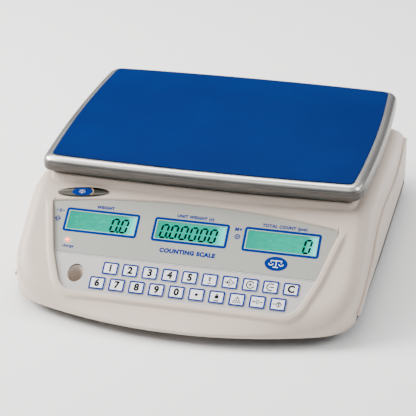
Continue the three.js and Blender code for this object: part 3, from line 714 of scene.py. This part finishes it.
def cover_points():
    """Plan points for the housing's top: rings with the points kept of each, a grid between, and holes."""
    edge = [OUTLINE - OUT_NORMAL * ROUND * (1 - math.cos(a)) for a in np.linspace(0, math.pi / 2, 13)]
    inner = [(ring, signed_distance(console_of(ring), PANEL) > 8.0) for ring in edge[1:]]
    tray = [full_ring(pan_loop(PLATEAU_INSET - e, 80)) for e in TRAY_RINGS]
    xs, ys = np.meshgrid(np.arange(-150, 150.1, 3.0), np.arange(-175, 176, 3.0))
    xs = xs + 1.5 * (np.arange(len(ys))[:, None] % 2)
    grid = np.stack((xs.ravel(), ys.ravel()), 1)
    e = signed_distance(grid, PLATEAU)
    keep = (e > 6) | ((e < -4) & (np.abs(grid[:, 0] % 12) < 3))
    keep &= signed_distance(grid, OUTLINE) < -ROUND - 1
    keep &= signed_distance(console_of(grid), PANEL) > 8.6
    holes = [circle(x, y, 11) for x, y in POSTS] + [circle(*LEVEL)]
    return [full_ring(OUTLINE)] + tray + inner + console_rings(), grid[keep], holes


def triangulate(rings, grid, holes):
    """Delaunay triangles over the plan points that follow the kept runs of each ring, cut to the holes."""
    points, constraints = [], []
    for loop, kept in rings + [full_ring(hole) for hole in holes]:
        index = len(points) + np.cumsum(kept) - 1
        points += [Vector(p) for p in loop[kept]]
        both = kept & np.roll(kept, -1)
        constraints += [(int(a), int(b)) for a, b in zip(index[both], np.roll(index, -1)[both])]
    points += [Vector(p) for p in grid]
    verts, _, faces, origin, _, _ = geometry.delaunay_2d_cdt(points, constraints, [], 0, 1e-4)
    at = np.array([tuple(v) for v in verts])
    faces = np.array([f for f in faces if len(f) == 3])
    middle = at[faces].mean(1)
    keep = (signed_distance(middle, OUTLINE) < 0) & (signed_distance(console_of(middle), PANEL) > -3)
    for loop in holes:
        keep &= signed_distance(middle, loop) > 0
    return at, faces[keep], origin


def wall_bottom(x, y):
    """Height of the housing's lower edge, which is raised along the flank ledges."""
    return WING_FLOOR if WING[0] < y < WING[1] and abs(x) > 140 else FLOOR


def wall_patch(verts, rows, columns, hole):
    """Faces that fill the rear wall between two columns, round a hole whose vertices join verts."""
    border = [rows[0][i] for i in columns] + [row[columns[-1]] for row in rows[1:]]
    border += [rows[-1][i] for i in columns[-2::-1]] + [row[columns[0]] for row in rows[-2:0:-1]]
    flat = np.array([(verts[i][0], verts[i][2]) for i in border])
    index = border + [len(verts) + i for i in range(len(hole))]
    verts += [(x, HALF_DEPTH, z) for x, z in hole]
    constraints = []
    for first, count in ((0, len(border)), (len(border), len(hole))):
        constraints += [(first + i, first + (i + 1) % count) for i in range(count)]
    points = [Vector(p) for p in np.vstack((flat, hole))]
    at, _, faces, origin, _, _ = geometry.delaunay_2d_cdt(points, constraints, [], 0, 1e-4)
    at = np.array([tuple(v) for v in at])
    middle = at[np.array(faces)].mean(1)
    border_loop = flat if signed_distance(middle, flat).min() < 0 else flat[::-1]
    keep = (signed_distance(middle, border_loop) < 0) & (signed_distance(middle, hole) > 0)
    return [tuple(index[origin[v][0]] for v in face) for face, kept in zip(faces, keep) if kept]


def make_cover():
    """The upper housing: its top surface, its walls with the inlet's hole, and a wall thickness."""
    at, faces, origin = triangulate(*cover_points())
    verts = [(x, y, h) for (x, y), h in zip(at, cover_height(at))]
    index_of = {}
    for new, olds in enumerate(origin):
        for old in olds:
            index_of[old] = new
    rim = [index_of[i] for i in range(len(OUTLINE))]
    rows = [rim]
    for share in (0.03, 0.1, 0.25, 0.45, 0.7, 1.0):
        row = []
        for i in rim:
            x, y, h = verts[i]
            row.append(len(verts))
            verts.append((x, y, h + share * (wall_bottom(x, y) - h)))
        rows.append(row)
    faces = [tuple(f) for f in faces]
    near_inlet = np.abs(OUTLINE[:, 0] - INLET[0]) < 12
    behind = np.flatnonzero((OUTLINE[:, 1] > HALF_DEPTH - 0.01) & near_inlet)
    for upper, lower in zip(rows, rows[1:]):
        for i in range(len(rim)):
            j = (i + 1) % len(rim)
            if i not in behind[:-1]:
                faces.append((upper[i], lower[i], lower[j], upper[j]))
    faces += wall_patch(verts, rows, behind, circle(*INLET, INLET_RADIUS, 40))
    cover = piece("housing_shell", verts, faces, HOUSING, "housing", ["upper_cover"], 50)
    thick = cover.modifiers.new("thickness", "SOLIDIFY")
    thick.thickness = WALL * MM
    thick.offset = -1


def wing_top(y):
    """Height of the flank ledge's wavy upper edge."""
    at = (-130, -124.4, -90, -56, -40, -24, 0, 35, 66, 85, 113, 128, 140, 146, 152)
    height = (19.6, 20, 24.6, 32, 43, 51, 54.5, 51, 47, 46.5, 50, 57, 62, 61, 58)
    fine = np.linspace(-130, 152, 400)
    curve = np.interp(fine, at, height)
    kernel = np.hanning(21)
    smooth = np.convolve(np.pad(curve, 10, "edge"), kernel / kernel.sum(), "valid")
    return np.interp(y, fine, smooth)


def make_wing(side):
    """The flat-faced ledge along a flank, with a rounded upper edge."""
    inner = WING_FACE - 4.0
    verts = []
    stations = np.linspace(WING[0], WING[1], 120)
    for y in stations:
        top = float(wing_top(y))
        section = [(inner, WING_FLOOR), (WING_FACE - 0.3, WING_FLOOR), (WING_FACE, WING_FLOOR + 0.3)]
        for turn in np.linspace(0, math.pi / 2, 8):
            section.append((WING_FACE - 1.0 * (1 - math.cos(turn)), top - 1.0 * (1 - math.sin(turn))))
        section += [(WING_FACE - 2.0, top + 0.05), (inner, top + 0.6)]
        verts += [(side * x, y, h) for x, h in section]
    name = "side_wing_right" if side > 0 else "side_wing_left"
    faces = capped_faces(len(stations), len(section))
    piece(name, verts, faces, HOUSING, "housing", (), 40)


def make_level_well():
    """The short tube from the console down to the bubble level."""
    x, y, radius = LEVEL
    outer, sides = radius + 1.5, 48
    verts, faces = [], []
    for turn in np.arange(sides) * 2 * math.pi / sides:
        dx, dy = math.cos(turn), math.sin(turn)
        lip = CONSOLE_Z + (y + dy * radius - CONSOLE_Y) * TAN - 1.3 / COS
        section = ((radius, lip), (radius, WELL_FLOOR), (outer, WELL_FLOOR), (outer, lip - 1.2 + dy * 1.1))
        verts += [(x + dx * reach, y + dy * reach, height) for reach, height in section]
    for i in range(sides):
        j = (i + 1) % sides
        for k in range(4):
            m = (k + 1) % 4
            faces.append((4 * i + k, 4 * i + m, 4 * j + m, 4 * j + k))
    piece("level_well", verts, faces, HOUSING, "housing")


# ------------------------ console
def each_key():
    """Name, place across and place up the slope of every key."""
    for left, down, names in KEY_ROWS:
        for i, name in enumerate(names.split()):
            yield name, left + i * KEY_PITCH, -down


def make_panels():
    """The display and keypad overlays, the seam between them and the clear pane behind the windows."""
    windows = [rounded(x, -LCD_DOWN, *WINDOW, 0.8, 3) for x, *_ in LCDS.values()]
    hole = ellipse(LED[0], -LED[1], 1.9, 1.9, 24)
    top = panel_loop(-0.45, None, 51.2, 0)
    on_console("display_lens", curve_mesh([top, *windows, hole], 1.15, 0.12, 2, -1.15), LENS, "housing",
               ["display_panel"])
    holes = [rounded(x, y, KEY[0] + 0.5, KEY[1] + 0.5, 1.7, 4) for _, x, y in each_key()]
    x, y, radius = LEVEL
    across = (y - CONSOLE_Y) / COS
    sight = ellipse(x, across, radius, radius / COS, 48)
    low = panel_loop(-0.45, 51.6, 88.0, 9.0)
    on_console("keypad_sheet", curve_mesh([low, *holes, sight], 1.15, 0.12, 2, -1.15), KEYPAD, "housing",
               ["keypad_overlay"])
    line = [(-115.4, -51.2), (115.4, -51.2), (115.4, -51.65), (-115.4, -51.65)]
    x, y, width, depth = 0, -LCD_DOWN, 235.4, 27.4
    pane = curve_mesh([rounded(x, y, width, depth, 1.6)], 1.0, 0.15, 2, -2.5)
    on_console("display_pane", pane, WINDOW_GLASS, "housing", ["display_window"])
    on_console("panel_seam", curve_mesh([line], 0.3, 0, 0, -0.28), WHITE_INK, "housing")


def ring_mesh(x, y, width, depth, line, radius, lift=0.0):
    """A thin printed frame with round corners."""
    outer = rounded(x, y, width, depth, radius)
    inner = rounded(x, y, width - 2 * line, depth - 2 * line, max(radius - line, 0.3))
    return curve_mesh([outer, inner], 0.06, 0, 0, lift)


def zero_mesh(width, height, line):
    """A seven-segment nought centred on the origin, slanted to the right."""
    w, h, t = width / 2, height / 2, line / 2
    gap = 0.28
    bars = ((-w, h, w, h), (w, 0, w, h), (w, -h, w, 0), (-w, -h, w, -h), (-w, -h, -w, 0), (-w, 0, -w, h))
    parts = []
    for x0, y0, x1, y1 in bars:
        length = math.hypot(x1 - x0, y1 - y0)
        ux, uy = (x1 - x0) / length, (y1 - y0) / length
        a, b = gap, length - gap
        tip = [(a, 0), (a + t, -t), (b - t, -t), (b, 0), (b - t, t), (a + t, t)]
        loop = [(x0 + ux * along - uy * off, y0 + uy * along + ux * off) for along, off in tip]
        parts.append((curve_mesh([[(x + y * 0.14, y) for x, y in loop]], 0.04), 0, 0))
    return join_meshes(parts)


def number_mesh(words, right):
    """A display reading of noughts and points whose last digit stands at right."""
    pitch, parts, x = 8.7, [], right
    for mark in reversed(words):
        if mark == ".":
            dot = rounded(0, 0, 1.8, 1.8, 0.4, 2)
            parts.append((curve_mesh([dot], 0.04), x + 3.7, -LCD_DOWN - 6.0))
            continue
        parts.append((zero_mesh(5.2, 12.2, 1.8), x, -LCD_DOWN))
        x -= pitch
    return join_meshes(parts)


def make_displays():
    """Each display: glowing glass on a white tray, its dark reading, its printed frame and pale margin."""
    for name, (x, words, end) in LCDS.items():
        glass = curve_mesh([rounded(x, -LCD_DOWN, 70, 26, 1)], 2.5, 0.2, 2, -5.4)
        on_console(name + "_glass", glass, GLOW, "housing", [name])
        tray = curve_mesh([rounded(x, -LCD_DOWN, 72, 28, 1)], 3.5, 0.3, 2, -12)
        on_console(name + "_tray", tray, WHITE_INK, "housing")
        reading = number_mesh(words, x + end)
        reading.transform(Matrix.Translation((0, 0, -2.88)))
        on_console(name + "_reading", reading, SEGMENT, "housing")
        frame_line = ring_mesh(x, -LCD_DOWN, 67.2, 23.3, 2.3, 2.6)
        print_on(name + "_frame", frame_line)
        loops = [rounded(x, -LCD_DOWN, 63.6, 19.7, 1.2), rounded(x, -LCD_DOWN, *WINDOW, 0.8)]
        print_on(name + "_margin", curve_mesh(loops, PRINT_DEPTH), MARGIN)


def print_on(name, mesh, look=BLUE, x=0.0, down=0.0):
    """A print on the display overlay, moved by (x, -down)."""
    mesh.transform(Matrix.Translation((x, -down, 0)))
    on_console(name, mesh, look, "housing")


def arrow_loop(x, y, turn, size):
    """A small solid arrow head pointing along turn."""
    c, s = math.cos(turn), math.sin(turn)
    local = [(0.5, 0), (-0.45, 0.5), (-0.45, -0.5)]
    return [(x + size * (a * c - b * s), y + size * (a * s + b * c)) for a, b in local]


def bar_loop(x0, y0, x1, y1, line=SIGN_LINE):
    length = math.hypot(x1 - x0, y1 - y0)
    nx, ny = -(y1 - y0) / length * line / 2, (x1 - x0) / length * line / 2
    return [(x0 + nx, y0 + ny), (x0 - nx, y0 - ny), (x1 - nx, y1 - ny), (x1 + nx, y1 + ny)]


def shapes_mesh(shapes, height=PRINT_DEPTH):
    """Separate filled shapes as one mesh; an item that is a list of loops keeps its inner loops open."""
    parts = []
    for item in shapes:
        nested = item if isinstance(item[0], list) else [item]
        parts.append((curve_mesh(nested, height, 0, 0), 0, 0))
    return join_meshes(parts)


def diamond(x, y, size, line):
    """A square ring that stands on its corner."""
    """An open square on its corner, as an outer and an inner loop."""
    return [[(x + r, y), (x, y + r), (x - r, y), (x, y - r)] for r in (size, size - line)]


def arc_loop(x, y, radius, line, start, end, count=20):
    """A band along an arc from start to end, in degrees."""
    turns = np.linspace(math.radians(start), math.radians(end), count)
    loop = []
    for reach, way in ((radius + line / 2, turns), (radius - line / 2, turns[::-1])):
        loop += [(x + reach * math.cos(t), y + reach * math.sin(t)) for t in way]
    return loop


def weight_loop(x, y, size):
    """The outline of a knobbed brass weight."""
    s = size
    points = [(-0.42, -0.5), (0.42, -0.5), (0.34, 0.12), (0.14, 0.16), (0.14, 0.24)]
    knob = [(0.2 * math.cos(t), 0.36 + 0.16 * math.sin(t)) for t in np.linspace(-0.7, math.pi + 0.7, 10)]
    left = [(-a, b) for a, b in reversed(points[2:])]
    return [(x + a * s, y + b * s) for a, b in points + knob + left]


def key_symbol(name):
    """The sign on a key, drawn round the origin in millimetres."""
    if name.isdigit() or name == "clear":
        return text_mesh("C" if name == "clear" else name, 8.8, 0.46, 0.95)
    grains = [(2 * i - row, y) for row, y in enumerate((2.2, 0.85, -1.0, -2.6)) for i in range(row + 1)]
    nought = [ellipse(0, 0, 1.3, 1.9, 24), ellipse(0, 0, 0.65, 1.2, 24)]
    marks = {
        "point": [ellipse(0, 0, 1.35, 1.35, 20)],
        "unit_set": [bar_loop(0, 3, 0, 0.2), arrow_loop(0, -0.6, -math.pi / 2, 2.4),
                     bar_loop(-1.6, 1.9, 1.6, 1.9), bar_loop(-1.5, -2.9, 1.5, -2.9)],
        "tare_set": [diamond(0, 0, 3.4, 1.0), bar_loop(-4.4, 0, -1.2, 0), arrow_loop(0, 0, 0, 2.0),
                     bar_loop(3.2, 0, 4.4, 0)],
        "memory_add": [arc_loop(0, 0, 3.2, 1.0, 30, 330), arrow_loop(3.0, -1.3, 1.7, 1.8),
                       bar_loop(-1.4, 0, 1.4, 0), bar_loop(0, -1.4, 0, 1.4)],
        "memory_show": [arc_loop(0, 0, 3.2, 1.0, 60, 300), arrow_loop(1.9, 2.7, -0.5, 1.8),
                        bar_loop(-1.2, 0, 3.0, 0)],
        "unit_weight": [weight_loop(0, 0.9, 4.4), bar_loop(-2.2, -3.2, 2.2, -3.2)],
        "sample": [ellipse(x, y, 0.72, 0.72, 12) for x, y in grains],
        "zero": [nought, bar_loop(-4.4, 0, -2.9, 0), arrow_loop(-2.3, 0, 0, 1.5), bar_loop(4.4, 0, 2.9, 0),
                 arrow_loop(2.3, 0, math.pi, 1.5)],
        "tare": [diamond(0.6, 0, 3.0, 0.95), bar_loop(-4.4, 0, -2.9, 0), arrow_loop(-2.6, 0, 0, 1.5),
                 bar_loop(-0.6, 0.8, 1.8, 0.8, 0.85), bar_loop(0.6, 0.8, 0.6, -1.4, 0.85)],
    }
    return shapes_mesh(marks[name])


def make_keys():
    """Each key: a cap on a stem, its blue outline and its sign."""
    for name, x, y in each_key():
        body = "key_" + name
        cap = curve_mesh([rounded(0, 0, *KEY, 1.6)], 1.6, 0.35, 3, -1)
        stem = curve_mesh([ellipse(0, 0, 2, 2, 20)], 2.6, 0, 0, -3.5)
        line = ring_mesh(0, 0, KEY[0] - 0.3, KEY[1] - 0.3, 1.4, 1.5, SIGN_LIFT)
        sign = key_symbol(name)
        sign.transform(Matrix.Translation((0, 0, SIGN_LIFT)))
        for mesh, suffix, look, nodes in (
            (join_meshes([(cap, 0, 0), (stem, 0, 0)]), "_cap", CAP, [body]),
            (line, "_outline", BLUE, ()),
            (sign, "_sign", INK, ()),
        ):
            mesh.transform(Matrix.Translation((x, y, 0)))
            on_console(body + suffix, mesh, look, body, nodes)


def balance_icon(s):
    """A plain pictogram of a balance; s scales it."""
    loops = [bar_loop(-2.4 * s, 1.3 * s, 2.4 * s, 1.3 * s, 0.36 * s)]
    loops.append(bar_loop(0, 1.7 * s, 0, -1.5 * s, 0.36 * s))
    loops.append(bar_loop(-1.1 * s, -1.6 * s, 1.1 * s, -1.6 * s, 0.4 * s))
    for x in (-2.1 * s, 2.1 * s):
        loops.append(arc_loop(x, 0.1 * s, 0.9 * s, 0.34 * s, 185, 355, 12))
        loops.append(bar_loop(x, 1.3 * s, x, 0.2 * s, 0.22 * s))
    return loops


def make_prints():
    """The words and small signs round the displays, and the emblem."""
    for name, words, x, down, size, bold in (
        ("weight", "WEIGHT", -79.5, 4.9, 3.8, 0.22),
        ("unit_weight", "UNIT WEIGHT (g)", 2.0, 4.9, 3.8, 0.22),
        ("count", "TOTAL COUNT (pcs)", 81.0, 4.9, 3.8, 0.22),
        ("title", "COUNTING SCALE", 1.0, 39.2, 5.3, 0.36),
        ("memory", "M+", 41.4, 11.6, 4.4, 0.25),
        ("charge", "charge", -105.2, 45.0, 3.4, 0.14),
    ):
        print_on("label_" + name, text_mesh(words, size, bold), BLUE, x, down)
    nought = [ellipse(0, 0, 1.3, 1.8, 20), ellipse(0, 0, 0.5, 1.0, 20)]
    zero = [nought, arrow_loop(-2.6, 0, 0, 1.9), arrow_loop(2.6, 0, math.pi, 1.9)]
    print_on("mark_zero", shapes_mesh(zero), BLUE, -119.6, 11.6)
    net = [diamond(0, 0, 3.0, 1.1), bar_loop(-1.6, 0, 1.6, 0, 0.9)]
    print_on("mark_tare", shapes_mesh(net), BLUE, -120.4, 19.6)
    memory = [[ellipse(0, 0, 2.4, 2.4, 24), ellipse(0, 0, 1.5, 1.5, 24)], ellipse(0, 0, 0.8, 0.8, 12)]
    print_on("mark_memory", shapes_mesh(memory), BLUE, 41.4, 18.4)
    print_on("emblem_oval", curve_mesh([ellipse(0, 0, 10, 6.6)], 0.08), BLUE, *EMBLEM)
    print_on("emblem_icon", shapes_mesh(balance_icon(2.1), 0.12), WHITE_INK, *EMBLEM)


def dome_mesh(a, b, rise, rows=14, count=72):
    """A shallow dome on an ellipse, closed underneath."""
    verts = []
    for k in range(rows):
        t = k / (rows - 1) * 0.97
        spread, height = 1 - t**1.6, rise * math.sin(t * math.pi / 2)
        verts += [(x, y, height) for x, y in ellipse(0, 0, a * spread, b * spread, count)]
    mesh = bpy.data.meshes.new("dome")
    mesh.from_pydata(verts, [], capped_faces(rows, count))
    return mesh


def on_badge(name, mesh, look, lift, nodes=()):
    """A mesh drawn round the badge's middle, turned with it and lifted off the console."""
    x, down = BADGE[:2]
    mesh.transform(Matrix.Translation((x, -down, lift)) @ Matrix.Rotation(BADGE_TURN, 4, "Z"))
    on_console(name, mesh, look, "housing", nodes)


def make_badge():
    """The oval metal badge: its plate, a blue centre, a gold crescent and a white pictogram."""
    a, b = BADGE[2:]
    on_badge("name_badge_plate", dome_mesh(a, b, 1.0), BADGE_METAL, 1.4, ["name_badge"])
    on_badge("name_badge_centre", dome_mesh(a * 0.42, b * 0.78, 0.25), BLUE, 2.26)
    crescent = curve_mesh([arc_loop(5.4, 0, 4.2, 0.9, -65, 65)], 0.3)
    crescent.transform(Matrix.Diagonal((1.0, 0.8, 1, 1)))
    on_badge("name_badge_crescent", crescent, GOLD, 2.15)
    icon = shapes_mesh(balance_icon(0.95), 0.12)
    icon.transform(Matrix.Translation((-0.5, 0, 0)))
    on_badge("name_badge_icon", icon, WHITE_INK, 2.48)


def make_lamp():
    x, down = LED
    halo = curve_mesh([circle(0, 0, 4.2, 40), circle(0, 0, 1.9, 40)], 0.03)
    print_on("charge_lamp_halo", halo, HALO, x, down)
    lens = dome_mesh(1.9, 1.9, 0.6, 10, 36)
    lens.transform(Matrix.Translation((x, -down, 0.02)))
    on_console("charge_lamp", lens, LED_GLOW, "housing", ["charge_led"])


# ------------------------ pan, feet
def pan_body(name, profile, look, node):
    """A closed body through rings of the pan's outline, given as (inset, height)."""
    loops = [pan_loop(inset) for inset, _ in profile]
    verts = [(x, y, height) for loop, (_, height) in zip(loops, profile) for x, y in loop]
    piece(name, verts, capped_faces(len(profile), len(loops[0])), look, "pan", [node], 40)


def make_pan():
    """The steel tray, with a rolled edge and a folded skirt, and the film on it."""
    top, bottom = TOP - FILM_DEPTH, TOP - PAN_DROP
    tray = [(6.4, top - 1.0), (3.6, top - 1.5), (2.2, top - 2.7), (1.2, top - 4.6), (1.0, top - 6.4)]
    tray += [(1.0, bottom + 0.2), (0.9, bottom), (0.1, bottom), (0.0, bottom + 0.2), (0.0, top - PAN_ROLL)]
    for turn in np.linspace(0, math.pi / 2, 16)[1:]:
        tray.append((PAN_ROLL * (1 - math.cos(turn)), top - PAN_ROLL + PAN_ROLL * math.sin(turn)))
    tray += [(7.2, top), (9, top), (14, top)]
    pan_body("pan_tray", tray, STEEL, "weighing_pan")
    film = [(8.0, TOP - 0.5), (8.0, TOP - 0.12), (8.1, TOP - 0.02), (8.4, TOP)]
    pan_body("pan_cover_film", film, FILM, "pan_film")


def make_feet():
    """Each foot: a rubber sole with a groove and a dimple, and a ribbed disc on a threaded stem."""
    sole = [(3, 0.3), (4, 0), (8, 0), (8.4, 0.5), (9.4, 0.5), (9.8, 0)]
    sole += [(14, 0), (14.7, 0.4), (15, 1), (15, 3.4), (14.7, 4.0), (14.2, 4.2)]
    disc = [(12.4, 4.5), (12.9, 4.9), (13, 5.4), (13, 7.4), (12.9, 7.9), (12.4, 8.3), (3.9, 8.3)]
    for k in range(15):
        disc += [(3.7, 8.8 + k * THREAD_PITCH), (3.2, 9.4 + k * THREAD_PITCH)]
    disc += [(2.8, 28)]
    for name, (x, y) in FEET.items():
        pad, screw = "foot_pad_" + name, "foot_screw_" + name
        lathe("foot_sole_" + name, sole, x, y, RUBBER, pad, [pad])
        lathe("foot_disc_" + name, disc, x, y, BLACK, screw, [screw], 96, (1, 4, 24, 0.55))


def dress_nodes():
    """CAD nodes that stay: softened edges and their own materials."""
    looks = {"lower_base": BASE, "level_vial": VIAL, "battery": BATTERY, "battery_bracket": ZINC}
    looks |= dict.fromkeys(("display_board", "keypad_board", "main_board"), CIRCUIT)
    looks |= dict.fromkeys(("load_cell", "load_cell_spacer", "platform_spider"), ALUMINIUM)
    looks |= dict.fromkeys(("power_inlet", "switch_housing", "switch_rocker"), BLACK)
    for corner in FEET:
        looks["platform_bush_" + corner] = RUBBER
        looks["cover_screw_" + corner] = ZINC
    for name, look in looks.items():
        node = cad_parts[name]
        node.data.materials.clear()
        node.data.materials.append(look)
        if name == "level_vial":
            continue
        soften = node.modifiers.new("soft edges", "BEVEL")
        soften.width = 0.3 * MM
        soften.segments = 2
        soften.limit_method = "ANGLE"
        soften.angle_limit = math.radians(40)
        soften.harden_normals = False


# ------------------------ light and camera, in metres
FLOOR_HALF = 6.0


def make_floor():
    made, tree, shader = new_material("floor_paper")
    put(tree, shader, Base_Color=(0.97, 0.97, 0.97, 1), Roughness=0.9)
    mesh = bpy.data.meshes.new("floor")
    corners = [(x * FLOOR_HALF, y * FLOOR_HALF, 0) for x, y in ((-1, -1), (1, -1), (1, 1), (-1, 1))]
    mesh.from_pydata(corners, [], [(0, 1, 2, 3)])
    mesh.materials.append(made)
    floor = add_object("floor", mesh)


def area_light(name, place, target, width, depth, power, colour=(1, 1, 1)):
    lamp = bpy.data.lights.new(name, "AREA")
    lamp.shape = "RECTANGLE"
    lamp.size, lamp.size_y = width, depth
    lamp.energy = power
    lamp.color = colour
    holder = add_object(name, lamp)
    holder.location = place
    holder.rotation_euler = (Vector(target) - Vector(place)).to_track_quat("-Z", "Y").to_euler()


def make_lights():
    """A ceiling that fades towards the horizon, and lights overhead, in front and at each side."""
    world = bpy.data.worlds.new("studio")
    world.use_nodes = True
    tree = world.node_tree
    direction = add_node(tree, "ShaderNodeTexCoord")
    split = add_node(tree, "ShaderNodeSeparateXYZ", [("Vector", direction.outputs["Generated"])])
    background = tree.nodes["Background"]
    background.inputs["Color"].default_value = (1, 1, 1, 1)
    tree.links.new(ramp(tree, split.outputs["Z"], 0.1, 0.9, 0.1, 0.66), background.inputs["Strength"])
    bpy.context.scene.world = world
    area_light("top", (-0.35, 0.5, 1.25), (0, 0.03, 0.08), 1.5, 0.7, 21)
    area_light("brow", (-0.1, -0.75, 1.3), (0, 0, 0.1), 1.6, 0.25, 4)
    area_light("left", (-1.45, -0.2, 1.0), (0, 0, 0.05), 0.8, 0.8, 66, (1.0, 0.97, 0.93))
    area_light("right", (1.4, 0.4, 0.9), (0, 0, 0.05), 0.7, 0.7, 12)


def make_camera():
    """The photograph's view: a long lens, turned a little to one side and rolled by less than a degree."""
    azimuth, elevation, roll = math.radians(14.2), math.radians(27.1), math.radians(-0.44)
    distance, focal_length = 1.5098, 141.5423
    aim_right, aim_down = 0.0114515, -0.0528185
    level = math.cos(elevation)
    back = Vector((math.sin(azimuth) * level, -math.cos(azimuth) * level, math.sin(elevation)))
    right = (-back).cross(Vector((0, 0, 1))).normalized()
    up = right.cross(-back)
    turned_right = math.cos(roll) * right + math.sin(roll) * up
    turned_up = -math.sin(roll) * right + math.cos(roll) * up
    aim = Vector((0, PAN_Y * MM, TOP * MM))
    place = aim + (back - turned_right * aim_right + turned_up * aim_down) * distance
    camera = bpy.data.cameras.new("camera")
    camera.sensor_width = 36
    camera.lens = focal_length
    camera.clip_start = 0.05
    camera.clip_end = 50
    holder = add_object("camera", camera)
    axes = Matrix((turned_right, turned_up, back)).transposed()
    holder.matrix_world = Matrix.Translation(place) @ axes.to_4x4()
    bpy.context.scene.camera = holder


make_camera()
make_lights()
make_floor()
make_cover()
make_wing(1)
make_wing(-1)
make_level_well()
make_panels()
make_displays()
make_keys()
make_prints()
make_badge()
make_lamp()
make_pan()
make_feet()
dress_nodes()
